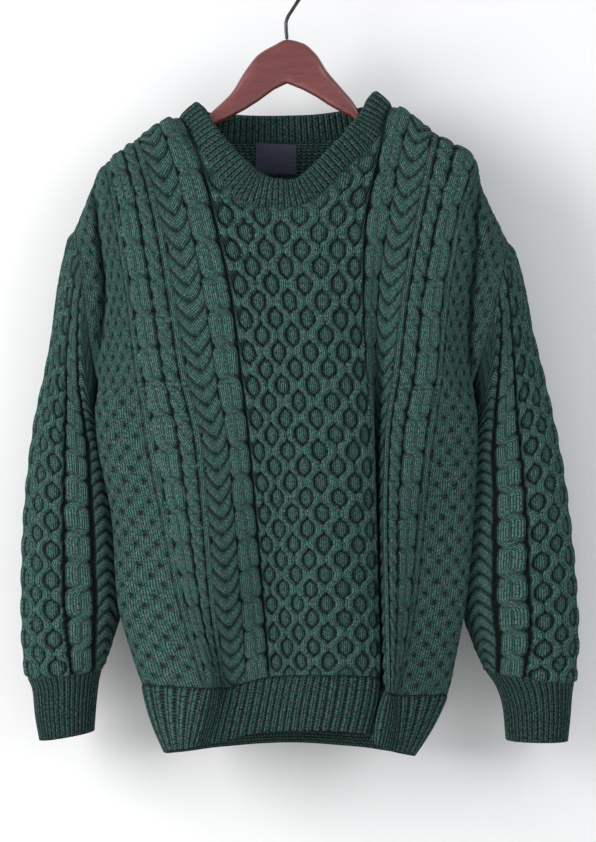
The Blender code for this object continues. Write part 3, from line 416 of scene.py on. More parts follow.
def front_section(a, z):
    """x and y of the front at a knitted distance and a height."""
    lines = list(LINES.values())
    xs = by_height(FRONT_X, z)
    ys = by_height(FRONT_Y, z)
    out = ARMHOLE_DEPTH * armhole_round(a, z)
    ys[..., 0] = ys[..., 0] - out
    ys[..., -1] = ys[..., -1] - out
    x = smooth(lines, xs, a)
    y = smooth(lines, ys, a) + trough(FRONT_FOLDS, a, z)
    return x, y


def back_section(a, z):
    """x and y of the back: an arched section between the side seams, with broad drapes."""
    fx, _ = front_section(a, z)
    xs = by_height(FRONT_X, z)
    ys = by_height(FRONT_Y, z)
    left, right = xs[..., 0], xs[..., -1]
    u = a / HALF
    spread = BACK_SPREAD * np.sin(0.5 * math.pi * u) + (1 - BACK_SPREAD) * u
    plain = 0.5 * (left + right) + 0.5 * (right - left) * spread
    share = ease((read(BACK_TOP, 1, a) - z) / BACK_BLEND)
    x = fx * (1 - share) + plain * share
    seam_y = np.where(a < 0, ys[..., 0], ys[..., -1]) + ARMHOLE_DEPTH * armhole_round(a, z)
    arch = np.clip(np.cos(0.5 * math.pi * u), 0, 1) ** BACK_FULL
    y = seam_y + (read(BACK_DEPTH, 1, z) - seam_y) * arch + trough(BACK_FOLDS, a, z)
    return x, y


# grid: points across and up
PANELS = dict(
    front=dict(section=front_section, top=FRONT_TOP, hem=HEM_FRONT, out=1.0, grid=(285, 305)),
    back=dict(section=back_section, top=BACK_TOP, hem=HEM_BACK, out=-1.0, grid=(237, 253)),
)


def length_to(panel, a, z):
    """Knitted length from the hem up to a height, for one panel."""
    dip = read(panel["hem"], 1, a) - HEM_LEVEL
    linear = GAIN - dip / LEVEL_AFTER
    rest = HEM_LEVEL + dip - z
    return (-linear + np.sqrt(linear ** 2 - 4 * GAIN_RISE * rest)) / (2 * GAIN_RISE)


def top_of(panel, a):
    """Where the straight rise ends, how long the round over the shoulder is, and its share."""
    share = np.clip(read(panel["top"], 2, a), 0, 1)
    start = read(panel["top"], 1, a) - CAP * share
    _, y = panel["section"](a, start)
    depth = (SEAM_LINE_Y - y) * share
    arc = 0.5 * math.pi * np.sqrt(0.5 * ((CAP * share) ** 2 + depth ** 2))
    return start, np.maximum(arc, 1e-6), share


def panel_length(panel, a):
    """Full knitted length of a wale, hem to top edge."""
    start, arc, _ = top_of(panel, a)
    return length_to(panel, a, start) + arc


def panel_point(panel, a, b):
    """The panel's smooth surface at knitted distance a across and b up from the hem."""
    a = np.asarray(a, float)
    b = np.asarray(b, float)
    start, arc, share = top_of(panel, a)
    turn = length_to(panel, a, start)
    dip = read(panel["hem"], 1, a) - HEM_LEVEL
    rise = HEM_LEVEL + dip * (1 - b / LEVEL_AFTER) + GAIN * b + GAIN_RISE * b * b
    angle = np.clip((b - turn) / arc, 0, 1) * 0.5 * math.pi
    over = b > turn
    z = np.where(over, start + CAP * share * np.sin(angle), rise)
    x, y = panel["section"](a, z)
    line = SEAM_LINE_Y * share + y * (1 - share)
    y = np.where(over, line + (y - line) * np.cos(angle), y)
    return np.stack([x, y, z], axis=-1)


def unit(v):
    """Vectors of length one."""
    return v / np.maximum(np.linalg.norm(v, axis=-1, keepdims=True), 1e-9)


def travelled(points):
    """Distance along a line of points, from 0."""
    steps = np.linalg.norm(np.diff(points, axis=0), axis=1)
    return np.concatenate([[0.0], np.cumsum(steps)])


def square_to(point, a, b, a_pair, b_pair):
    """Direction square to a surface, from its points a little way off across and along."""
    across = point(a_pair[1], b) - point(a_pair[0], b)
    along = point(a, b_pair[1]) - point(a, b_pair[0])
    return unit(np.cross(across, along))


def panel_normal(name, a, b):
    """Outward direction of one panel, from points 1.5 mm off inside its edges."""
    panel = PANELS[name]
    full = panel_length(panel, a)
    a_pair = [np.clip(a + step, -HALF, HALF) for step in (-1.5, 1.5)]
    b_pair = np.clip(b - 1.5, 0, full - 0.01), np.clip(b + 1.5, 0.02, full)

    def point_at(a, b):
        return panel_point(panel, a, b)

    return square_to(point_at, a, b, a_pair, b_pair) * panel["out"]


def shared_normal(name, a, b):
    """The panel's outward direction, averaged with the other panel at the side seams."""
    own = panel_normal(name, a, b)
    other = panel_normal("back" if name == "front" else "front", a, b)
    z = panel_point(PANELS[name], a, b)[..., 2]
    near = ease((np.abs(a) - HALF + SIDE_BLEND) / SIDE_BLEND) * (1 - armhole_round(a, z))
    return unit(own + other * near[..., None])


def flat_edge(panel, a, b):
    """0 on a panel's sewn edges and 1 a little way in, beside the steep neck edge too."""
    inward = a - np.sign(a) * np.minimum(np.abs(a), NECK_REACH)
    top = np.minimum(panel_length(panel, a), panel_length(panel, inward) + EDGE_FADE / 2)
    side = ease((HALF - np.abs(a)) / EDGE_FADE)
    return side * ease((top - b) / EDGE_FADE) * (0.4 + 0.6 * ease(b / EDGE_FADE))


def ridge(distance, half):
    """A full, round ridge: 1 on its line and 0 at its edge."""
    return np.sqrt(np.clip(1 - np.abs(distance / half) ** RIDGE_FULL, 0, 1))


def uneven(a, b):
    """Hand-like unevenness: small shifts of the pattern, slow across and along."""
    along = 0.55 * np.sin(0.083 * b + 0.31 * a) + 0.35 * np.sin(0.19 * b - 0.07 * a)
    across = 0.4 * np.sin(0.061 * b + 1.3) * np.sin(0.045 * a) + 0.3 * np.sin(0.17 * b + 0.09 * a)
    return a + across, b + along


def plain_knit(a, b):
    """Flat knitting: no lift, stitches counted straight across and up."""
    zero = np.zeros_like(a)
    return dict(lift=zero, wale=a / WALE, course=b / COURSE, purl=zero)


def lay(knit, where, other):
    """Put one band of knitting over another where it lies."""
    for key in knit:
        knit[key] = np.where(where, other[key], knit[key])
    return knit


def honeycomb(a, b, cords):
    """Wavy two-stitch cords that touch and part in turn over a knit ground."""
    knit = plain_knit(a, b)
    wave = np.cos(2 * math.pi * b / CELL)
    wave = np.tanh(COMB["square"] * wave) / math.tanh(COMB["square"])
    lines = [CORD * i + COMB["swing"] * wave * (1 if i % 2 == 0 else -1)
             for i in range(-cords, cords + 1)]
    room = np.min([np.abs(a - line) for line in lines], axis=0) - COMB["cord"]
    knit["lift"] = COMB["ground"] * ease(room / COMB["room"])
    for i, line in enumerate(lines):
        rise = COMB["height"] * ridge(a - line, COMB["cord"])
        over = rise > knit["lift"]
        knit["lift"] = np.where(over, rise, knit["lift"])
        knit["wale"] = np.where(over, (a - line) / WALE + i, knit["wale"])
    return knit


def crossed(offset, b, row):
    """Two strands side by side; once a pitch the right one passes in front to the left."""
    phase = np.mod(b / row["pitch"], 1.0)
    share = ease((phase - 1 + row["cross"]) / row["cross"]) if row["cross"] < 1 else phase
    reach = row["half"] - row["strand"]
    front = offset - reach * (1 - 2 * share)
    behind = offset + reach * (1 - 2 * share)
    lift = np.sin(math.pi * share)
    wide = row["strand"] * (1 + 0.4 * lift)
    over = ridge(front, wide) * (0.88 + 0.17 * lift)
    under = ridge(behind, wide) * (0.88 - 0.42 * lift)
    both = 0.94 * ridge(offset, row["half"]) * (1 - ease(lift * 2.2))
    on_top = over >= under
    height = np.maximum(over, under)
    height = np.maximum(height, 0.35 * height + 0.65 * both)
    height = height - 0.45 * lift * height * np.exp(-((np.abs(front) - wide) / 1.1) ** 2)
    wale = np.where(on_top, front, behind) / WALE + row["odd"]
    purl = np.where(height < 0.05, 1.0, 0.0)
    return dict(lift=row["height"] * height, wale=wale, course=b / COURSE, purl=purl)


def chevron(offset, b, row):
    """Strands that slant down from both sides, each tucked under the one above it."""
    far = np.abs(offset)
    drop = row["slope"] * far * (0.8 + 0.3 * (far / row["half"]) ** 2)
    along = np.mod((b - drop) / row["pitch"], 1.0)
    shape = np.sin(math.pi * along ** 0.8) ** 0.7
    hole = 1 - 0.75 * np.exp(-(offset / 2.6) ** 2) * np.exp(-((along - 0.06) / 0.2) ** 2)
    edge = ridge(far, row["half"] + 1.2)
    wale = along * 3.0 + np.sign(offset) * 0.5
    course = (far * 1.45) / COURSE
    lift = row["height"] * shape * hole * (0.55 + 0.45 * edge)
    return dict(lift=lift, wale=wale, course=course, purl=np.zeros_like(b))


def rib(offset, b, row):
    """Two knit stitches standing up side by side."""
    pair = np.abs(np.abs(offset) - row["half"] / 2)
    lift = row["height"] * (0.35 * ridge(offset, row["half"]) + 0.65 * ridge(pair, row["half"] / 2))
    return dict(lift=lift, wale=offset / WALE, course=b / COURSE, purl=np.zeros_like(b))


def seed(a, b):
    """Small bumps set like a draughts board."""
    far = np.abs(a) - SEED["start"]
    bump = np.cos(2 * math.pi * far / SEED["across"]) * np.cos(2 * math.pi * b / SEED["up"])
    hole = np.clip(-bump, 0, 1) ** 2.2
    pair = 0.5 + 0.5 * np.cos(2 * math.pi * a / WALE)
    lift = SEED["height"] * (0.72 - 0.72 * hole + 0.16 * np.clip(bump, 0, 1) + 0.12 * pair)
    return dict(lift=lift, wale=a / WALE, course=b / COURSE, purl=np.clip(-0.2 - bump, 0, 1))


def band(knit, a, b, row, stitches):
    """Lay a named band on both sides of the middle."""
    where = np.abs(np.abs(a) - row["at"]) < row["half"]
    return lay(knit, where, stitches(a - np.sign(a) * row["at"], b, row))


def panel_knit(a, b):
    """The bands of a panel from the middle out: lift, stitch counts and purl share."""
    a, b = uneven(a, b)
    far = np.abs(a)
    knit = plain_knit(a, b)
    knit["purl"] = np.ones_like(far)
    knit = lay(knit, far < COMB["half"] + 1.5, honeycomb(a, b, 4))
    for row in CABLES:
        knit = band(knit, a, b, row, crossed)
    for row in LADDERS:
        knit = lay(knit, np.abs(far - row["at"]) < row["half"], rib(far - row["at"], b, row))
    knit = band(knit, a, b, CHEVRON, chevron)
    return lay(knit, far > SEED["start"], seed(a, b))


def sleeve_knit(s, b):
    """The sleeve's bands: honeycomb outside, a cable and a chevron each side, then seed."""
    s, b = uneven(s, b)
    far = np.abs(s)
    knit = plain_knit(s, b)
    knit["purl"] = np.ones_like(far)
    knit = lay(knit, far < 3 * CORD + 1.5, honeycomb(s, b, 3))
    knit = band(knit, s, b, SLEEVE_CABLE, crossed)
    knit = band(knit, s, b, SLEEVE_CHEVRON, chevron)
    row = SLEEVE_CHEVRON
    under = seed(far + SEED["start"] - row["at"] - row["half"], b)
    under["wale"] = s / WALE
    return lay(knit, far > row["at"] + row["half"], under)


def edge_fan(fine, plain):
    """Triangles from a fine line of numbers to a plain one with one step to COARSE of its own."""
    count = len(plain) - 1
    half = COARSE // 2
    first = fine[:-1].reshape(count, COARSE)
    after = fine[1:].reshape(count, COARSE)
    g0 = np.repeat(plain[:-1, None], half, axis=1)
    g1 = np.repeat(plain[1:, None], COARSE - half, axis=1)
    low = np.stack([after[:, :half], first[:, :half], g0], -1).reshape(-1, 3)
    high = np.stack([after[:, half:], first[:, half:], g1], -1).reshape(-1, 3)
    middle = np.stack([first[:, half], plain[:-1], plain[1:]], -1)
    return np.concatenate([low, middle, high])


def numbered(rows, cols, ring, start_map, start_vert):
    """Map numbers of a grid and the vertex of each; a ring's last column is its first."""
    wide = cols + 1 if ring else cols
    ids = np.arange(rows * wide).reshape(rows, wide) + start_map
    verts = (np.arange(rows)[:, None] * cols + np.arange(wide)[None, :] % cols) + start_vert
    return ids, verts.ravel()


def quads(ids):
    """Four-sided faces of a grid of numbers."""
    return np.stack([ids[:-1, :-1], ids[:-1, 1:], ids[1:, 1:], ids[1:, :-1]], -1).reshape(-1, 4)


def facing_out(points, four, three):
    """Faces turned, if need be, so that the volume that they enclose is positive."""
    p = points[four]
    size = np.sum(np.cross(p[:, 0], p[:, 1]) * p[:, 2] + np.cross(p[:, 0], p[:, 2]) * p[:, 3])
    turn = 1 if size > 0 else -1
    return four[:, ::turn], three[:, ::turn]


def placed(name, data):
    """A new object of this name, in the scene."""
    ob = bpy.data.objects.new(name, data)
    bpy.context.scene.collection.objects.link(ob)
    return ob


def build(name, points, verts, four, three, stitch, cloth, tone_and_painted_shade, purl, stuff):
    """A mesh object from arrays, in metres, with the stitch map and the cloth's own sizes."""
    mesh = bpy.data.meshes.new(name)
    loops = np.concatenate([four.ravel(), three.ravel()])
    starts = np.concatenate([np.arange(len(four)) * 4, 4 * len(four) + np.arange(len(three)) * 3])
    mesh.vertices.add(len(points))
    mesh.vertices.foreach_set("co", (points * MM).astype(np.float32).ravel())
    mesh.loops.add(len(loops))
    mesh.loops.foreach_set("vertex_index", verts[loops].astype(np.int32))
    mesh.polygons.add(len(starts))
    mesh.polygons.foreach_set("loop_start", starts.astype(np.int32))
    mesh.polygons.foreach_set("use_smooth", np.ones(len(starts), bool))
    mesh.update(calc_edges=True)
    for title, pairs in (("stitch", stitch), ("cloth", cloth)):
        layer = mesh.uv_layers.new(name=title)
        layer.data.foreach_set("uv", pairs[loops].astype(np.float32).ravel())
    # point attributes: the painted shade level and the purl share
    for title, values in (("tone_and_painted_shade", tone_and_painted_shade), ("purl", purl)):
        layer = mesh.attributes.new(title, "FLOAT", "POINT")
        layer.data.foreach_set("value", values.astype(np.float32))
    mesh.materials.append(stuff)
    return placed(name, mesh)


def coarse(grid):
    """One row and column in COARSE of a grid."""
    return grid[::COARSE, ::COARSE]


def shell(name, skin, lining, knit, flat, ring, stuff):
    """A closed wall: a fine outer grid, a plain inner grid with one point in COARSE, and rims.

    skin and lining are each the form's points and outward directions. knit holds the outer
    grid's knitting and flat its cloth distances (a, b). A ring closes on itself across.
    """
    outer = skin[0] + skin[1] * knit["lift"][..., None]
    inner = lining[0] - lining[1] * WALL
    rows, cols = outer.shape[:2]
    ids, verts = numbered(rows, cols, ring, 0, 0)
    low_ids, low_verts = numbered(*inner.shape[:2], ring, ids.size, rows * cols)
    four = np.concatenate([quads(ids), quads(low_ids)[:, ::-1]])
    rims = [edge_fan(ids[0], low_ids[0]), edge_fan(ids[-1], low_ids[-1])[:, ::-1]]
    if not ring:
        rims += [edge_fan(ids[:, 0], low_ids[:, 0])[:, ::-1], edge_fan(ids[:, -1], low_ids[:, -1])]
    three = np.concatenate(rims)
    points = np.concatenate([outer.reshape(-1, 3), inner.reshape(-1, 3)])
    verts = np.concatenate([verts, low_verts])
    four, three = facing_out(points[verts], four, three)
    a, b = flat

    def across(values):
        return np.concatenate([values, values[:, :1]], 1) if ring else values

    wale, course = across(knit["wale"]), across(knit["course"])
    if ring:
        step = a[:, -1:] - a[:, -2:-1]
        a = np.concatenate([a, a[:, -1:] + step], 1)
        b = across(b)
    stitch = np.stack([wale, course], -1).reshape(-1, 2)
    cloth = np.stack([a, b], -1).reshape(-1, 2) * MM
    inside = np.stack([coarse(a), coarse(b)], -1).reshape(-1, 2)
    stitch = np.concatenate([stitch, inside / (WALE, COURSE)])
    cloth = np.concatenate([cloth, inside * MM])
    # painted shade level per point: the lift unless a level was given, and a fixed 2.0 on the inner
    # skin
    tone_and_painted_shade = knit.get("tone_and_painted_shade", knit["lift"])
    tone_and_painted_shade = np.concatenate([tone_and_painted_shade.ravel(), np.full(len(points) - tone_and_painted_shade.size, 2.0)])
    purl = np.concatenate([knit["purl"].ravel(), np.full(len(points) - rows * cols, 1.0)])
    return build(name + "_knit", points, verts, four, three, stitch, cloth, tone_and_painted_shade, purl, stuff)


def snapped(values, marks):
    """Even values with the nearest one moved onto each mark."""
    values = np.array(values, float)
    for mark in marks:
        values[np.argmin(np.abs(values - mark))] = mark
    return values


def drawn_in(along):
    """Distances of an inner skin, which stops short of both ends."""
    along = along.copy()
    along[0] += INNER_INSET
    along[-1] -= INNER_INSET
    return along


def raise_knit(knit, flat):
    """Fade the lift to nothing at the edges, and keep the painted furrow shade off them."""
    # painted shade level: low lift is later painted dark like a shaded hollow; edges flattened at a
    # seam get a high, unshaded level
    knit["tone_and_painted_shade"] = knit["lift"] * (0.3 + 0.7 * flat) + 1.4 * (1 - flat)
    knit["lift"] = knit["lift"] * flat


def panel_piece(name, stuff):
    """Front or back. Across a, up b = t times the wale's full length; lifted by its knitting."""
    panel = PANELS[name]
    columns, rows = panel["grid"]
    line = snapped(np.linspace(-EDGE, EDGE, columns), (-NECK_A, NECK_A))
    a = np.broadcast_to(line, (rows, columns))
    full = panel_length(panel, line)
    t = np.linspace(0, 1, rows)[:, None]
    b = SEAM / 2 + (full - SEAM) * t
    base = panel_point(panel, a, b)
    out = shared_normal(name, a, b)
    knit = panel_knit(a, b)
    raise_knit(knit, flat_edge(panel, a, b))
    if name == "front":
        deep = ease((FOLD["below"] - base[..., 2]) / (FOLD["below"] - FOLD["full"]))
        close = 1 - ease(np.abs(a - FOLD["at"]) / FOLD["reach"])
        knit["lift"] = knit["lift"] * (1 - FOLD["flat"] * deep * close)
    low_a = np.clip(coarse(a), -HALF + INNER_INSET, HALF - INNER_INSET)
    low_b = drawn_in(coarse(b))
    lining = (panel_point(panel, low_a, low_b), shared_normal(name, low_a, low_b))
    return shell(name, (base, out), lining, knit, (a, b), False, stuff)


def hem_piece(side, stuff):
    """Hem rib: across a, down t from the panel's edge to the lower edge; one ridge a rib."""
    panel = PANELS[side]
    ribs = int(round(HEM_WIDE / HEM_RIB))
    across = 8 * ribs + 1
    a = np.broadcast_to(np.linspace(-EDGE, EDGE, across), (WELT_ROWS, across))
    t = np.broadcast_to(np.linspace(-TUCK, 1, WELT_ROWS)[:, None], a.shape)

    def surface(a, t):
        zero = np.zeros_like(a)
        top = panel_point(panel, a, zero)
        low = np.stack([read(panel["hem"], k, a) for k in (2, 3, 4)], -1)
        out = shared_normal(side, a, zero + 0.01)
        swell = 3.0 * np.sin(math.pi * np.clip(t, 0, 1)) - TUCK_IN * (1 - ease(t / TUCK + 1))
        return top + (low - top) * t[..., None] + out * swell[..., None], out

    turn = (a + HALF) / (2 * HALF) * ribs
    knit = ribbed(turn, t * RIB_TALL / COURSE)
    knit["lift"] = knit["lift"] * (ease(t * RIB_TALL / 4.0) * 0.9 + 0.1)
    lining = surface(np.clip(coarse(a), -HALF + 1.0, HALF - 1.0), coarse(t))
    flat = (a * HEM_DRAWN, t * RIB_TALL)
    return shell("hem_rib_" + side, surface(a, t), lining, knit, flat, False, stuff)


def ribbed(turn, course):
    """One knit ridge and one purl furrow a rib."""
    wave = 0.5 - 0.5 * np.cos(2 * math.pi * turn)
    lift = 0.2 + RIB_HEIGHT * np.clip(wave, 0, 1) ** 0.7
    return dict(lift=lift, wale=turn, course=course, purl=np.where(wave < 0.22, 1.0, 0.0))


def armhole(side):
    """Closed seam line round one armhole, down the front and up the back: points, outward
    directions, and keys from 0 to 2."""
    a = side * EDGE
    lines = []
    for name, turned in (("front", False), ("back", True)):
        panel = PANELS[name]
        full = float(panel_length(panel, np.array([a]))[0])
        under = float(length_to(panel, np.array([a]), np.array([UNDERARM_Z]))[0])
        b = np.linspace(under, full - 0.01, SEAM_STEPS + 1)
        across = np.full_like(b, a)
        pair = (panel_point(panel, across, b), shared_normal(name, across, b))
        lines.append([p if turned else p[::-1] for p in pair])
    points, normals = [np.concatenate([lines[0][k], lines[1][k][1:]]) for k in (0, 1)]
    points[-1], normals[-1] = points[0], normals[0]
    return points, normals, np.arange(len(points)) / SEAM_STEPS


def ring_point(table, q, v):
    """A tube of flattened rings: q runs 0 to 2 round from the outer line over the front."""
    knots = np.arange(len(table))
    ox, oz, ix, iz, cy, ry = [smooth(knots, column(table, k), v) for k in range(6)]
    angle = math.pi * q
    c, s = np.cos(angle), np.sin(angle)
    c = np.sign(c) * np.abs(c) ** RING_FULL
    s = np.sign(s) * np.abs(s) ** RING_FULL
    x = 0.5 * (ox + ix) + 0.5 * (ox - ix) * c
    z = 0.5 * (oz + iz) + 0.5 * (oz - iz) * c
    return np.stack([x, cy - ry * s, z], axis=-1)


def sleeve_point(table, ring, q, v):
    """The sleeve's surface: the armhole ring fading into the tube's own rings."""
    points, normals, keys = ring
    around = np.mod(q, 2.0)
    facing = between(keys, normals, around)
    offset = between(keys, points, around) - ring_point(table, q, np.zeros_like(v))
    fade = 1 - ease(v / HEAD_REACH)
    behind = 0.2 + 0.8 * np.clip(-np.sin(math.pi * q), 0, 1)
    puff = HEAD_PUFF * behind * np.sin(math.pi * np.clip(v / HEAD_REACH, 0, 1))
    return ring_point(table, q, v) + offset * fade[..., None] + facing * puff[..., None]


def sleeve_normal(table, ring, q, v, side):
    """Outward direction of the sleeve."""
    v_pair = [np.clip(v + step, 0, len(table) - 1.0) for step in (-0.1, 0.1)]

    def point_at(q, v):
        return sleeve_point(table, ring, q, v)

    return square_to(point_at, q, v, (q - 0.02, q + 0.02), v_pair) * side


def sleeve_lengths(table):
    """Knitted length down the outer line at each ring of the table."""
    return travelled(np.array(table, float)[:, :2])


def sleeve_piece(arm, stuff):
    """A tube: q runs 0 to 2 round from the outer line over the front, rows run down the arm."""
    side, table = ARMS[arm]["out"], ARMS[arm]["sleeve"]
    ring = armhole(side)
    knots = np.arange(len(table))
    lengths = sleeve_lengths(table)
    cols, rows = SLEEVE_GRID
    q = np.broadcast_to(np.arange(cols) * 2.0 / cols - 1.0, (rows, cols))
    length = np.linspace(ARMHOLE_GAP, lengths[-1] - SEAM / 2, rows)[:, None] + 0 * q
    v = np.interp(length, lengths, knots)
    girth = smooth(knots, column(table, 6), v)
    s = q * girth - SLEEVE_TURN

    def surface(q, v):
        return sleeve_point(table, ring, q, v), sleeve_normal(table, ring, q, v, side)

    knit = sleeve_knit(s, length)
    fade = 0.25 + 0.75 * ease((lengths[-1] - length) / 5.0)
    raise_knit(knit, ease(length / EDGE_FADE) * fade)
    low = surface(coarse(q), np.interp(drawn_in(coarse(length)), lengths, knots))
    return shell("sleeve_" + arm, surface(q, v), low, knit, (s, length), True, stuff)


def cuff_piece(arm, stuff):
    """The wrist rib: q round the arm, rows down from the sleeve's edge; one ridge a rib."""
    side, table = ARMS[arm]["out"], ARMS[arm]["cuff"]
    cols = 8 * CUFF_RIBS
    q = np.broadcast_to(np.arange(cols) * 2.0 / cols - 1.0, (WELT_ROWS, cols))
    v = np.broadcast_to(np.linspace(-3 * TUCK, 3.0, WELT_ROWS)[:, None], q.shape)

    def point_at(q, v):
        return ring_point(table, q, v)

    def surface(q, v):
        v_pair = np.clip(v - 0.1, 0, 2.9), np.clip(v + 0.1, 0.1, 3)
        out = square_to(point_at, q, v, (q - 0.02, q + 0.02), v_pair) * side
        tuck = TUCK_IN * (1 - ease(v / (3 * TUCK) + 1))
        return point_at(q, v) - out * tuck[..., None], out

    knit = ribbed((q + 1) / 2 * CUFF_RIBS, v / 3.0 * RIB_TALL / COURSE)
    knit["lift"] = knit["lift"] * 0.85
    flat = (q * CUFF_HALF, v / 3.0 * RIB_TALL)
    lining = surface(coarse(q), coarse(v))
    return shell("cuff_" + arm, surface(q, v), lining, knit, flat, True, stuff)


def neck_line():
    """Seam points round the neck: across the front left to right, then back along the back."""
    pieces = []
    for name in ("front", "back"):
        a = np.linspace(-NECK_A, NECK_A, SEAM_STEPS + 1)
        b = panel_length(PANELS[name], a)
        pieces.append((panel_point(PANELS[name], a, b), panel_normal(name, a, b - 4.0)))
    return [np.concatenate([pieces[0][k], pieces[1][k][::-1][1:-1]]) for k in (0, 1)]


def neckband_piece(stuff):
    """Rib folded double: k round the neck, w round its section, up, over the top and down."""
    seam, facing = [np.vstack([line, line[:1]]) for line in neck_line()]
    keys = travelled(seam)
    around = keys[-1]
    ribs = int(round(around / NECK_RIB))
    cols = 12 * ribs
    k = np.arange(cols) * around / cols
    base = between(keys, seam, k)
    ahead = unit(between(keys, seam, np.mod(k + 14.0, around))
                 - between(keys, seam, np.mod(k - 14.0, around)))
    near = [between(keys, facing, np.mod(k + step, around)) for step in (-24, -12, 0, 12, 24)]
    away = unit(np.cross(unit(sum(near)), ahead))
    lean = NECK_LEAN * (1 - away[:, 2:] ** 2)
    rise = away + np.array([0.0, 0.0, 1.0]) * lean
    rise = unit(rise - ahead * np.sum(rise * ahead, axis=1, keepdims=True))
    for side, place in (("left", 0.0), ("right", keys[SEAM_STEPS])):
        far_k = np.abs(np.mod(k - place + around / 2, around) - around / 2)
        near = np.exp(-(far_k / NECK_SHOULDER["reach"]) ** 2)[:, None]
        rise = unit(rise * (1 - near) + np.array(NECK_SHOULDER[side]) * near)
    out = unit(np.cross(ahead, rise))
    for _ in range(NECK_SOFTEN):
        out = unit(out + np.roll(out, 3, axis=0) + np.roll(out, -3, axis=0))
        rise = unit(rise + np.roll(rise, 3, axis=0) + np.roll(rise, -3, axis=0))
    wide = read(NECK_WIDE, 1, k / around) / NECK_RISE
    w = np.linspace(0, 1, NECK_ROWS)[:, None]
    up, off, tall = [read(NECK_PROFILE, c, w) for c in (1, 2, 3)]
    course = w * NECK_CUT[1] / COURSE
    knit = ribbed(k / around * ribs + 0 * w, course + 0 * k)
    sign = np.where(w < 0.5, 1.0, -1.0)
    thick = off * (NECK_THICK / 2) + knit["lift"] * tall * sign * NECK_RIPPLE
    grid = base + rise * (up * np.where(up > 0, wide, 1.0))[..., None] + out * thick[..., None]
    points = grid.reshape(-1, 3)
    ids, verts = numbered(NECK_ROWS, cols, True, 0, 0)
    four, three = facing_out(points[verts], quads(ids), np.zeros((0, 3), int))
    turn, course = np.broadcast_arrays(np.arange(cols + 1) / cols * ribs, course)
    stitch = np.stack([turn, course], -1).reshape(-1, 2)
    cloth = np.stack([turn * NECK_RIB, course * COURSE], -1).reshape(-1, 2) * MM
    # the rib's lift also sets the neckband's painted furrow shade
    return build("neckband_knit", points, verts, four, three, stitch, cloth,
                 knit["lift"].ravel(), knit["purl"].ravel(), stuff)


class Nodes:
    """Small helper that adds linked shader nodes to one material."""

    def __init__(self, name):
        self.mat = bpy.data.materials.new(name)
        self.mat.use_nodes = True
        self.tree = self.mat.node_tree
        self.shader = self.tree.nodes["Principled BSDF"]

    def put(self, socket, value):
        if isinstance(value, bpy.types.NodeSocket):
            self.tree.links.new(value, socket)
        else:
            socket.default_value = value

    def add(self, kind, values=(), **fields):
        """A new node: its fields first, then its inputs by name or number."""
        node = self.tree.nodes.new("ShaderNode" + kind)
        for field, value in fields.items():
            setattr(node, field, value)
        for socket, value in dict(values).items():
            self.put(node.inputs[socket], value)
        return node

    def finish(self, settings):
        for title, value in settings.items():
            self.put(self.shader.inputs[title], value)

    def math(self, operation, *values, clamp=False):
        return self.add("Math", enumerate(values), operation=operation, use_clamp=clamp).outputs[0]

    def times(self, *values):
        return self.math("MULTIPLY", *values)

    def plus(self, *values):
        return self.math("ADD", *values)

    def uv(self, title):
        split = self.add("SeparateXYZ", {0: self.add("UVMap", uv_map=title).outputs[0]})
        return split.outputs[0], split.outputs[1]

    def attribute(self, title):
        return self.add("Attribute", attribute_name=title).outputs["Fac"]

    def place(self, x, y, z=0.0):
        return self.add("CombineXYZ", enumerate((x, y, z))).outputs[0]

    def object_place(self):
        return self.add("TexCoord").outputs["Object"]

    def noise(self, where, scale, detail=2.0, rough=0.5, bend=0.0):
        return self.add("TexNoise", {"Vector": where, "Scale": scale, "Detail": detail,
                                     "Roughness": rough, "Distortion": bend}).outputs["Fac"]

    def ramp(self, value, stops):
        node = self.add("ValToRGB", {0: value})
        band = node.color_ramp
        while len(band.elements) < len(stops):
            band.elements.new(0.5)
        for element, (at, colour) in zip(band.elements, stops):
            element.position = at
            element.color = (*colour, 1.0)
        return node.outputs[0]

    def greys(self, value, *stops):
        return self.ramp(value, [(at, (level,) * 3) for at, level in stops])

    def blend(self, how, share, one, other):
        return self.add("Mix", {0: share, 6: one, 7: other}, data_type="RGBA",
                        blend_type=how).outputs[2]

    def darken(self, share, colour, greys):
        return self.blend("MULTIPLY", share, colour, greys)

    def bump(self, height, distance, strength=1.0):
        node = self.add("Bump", {"Strength": strength, "Distance": distance, "Height": height})
        self.put(self.shader.inputs["Normal"], node.outputs[0])


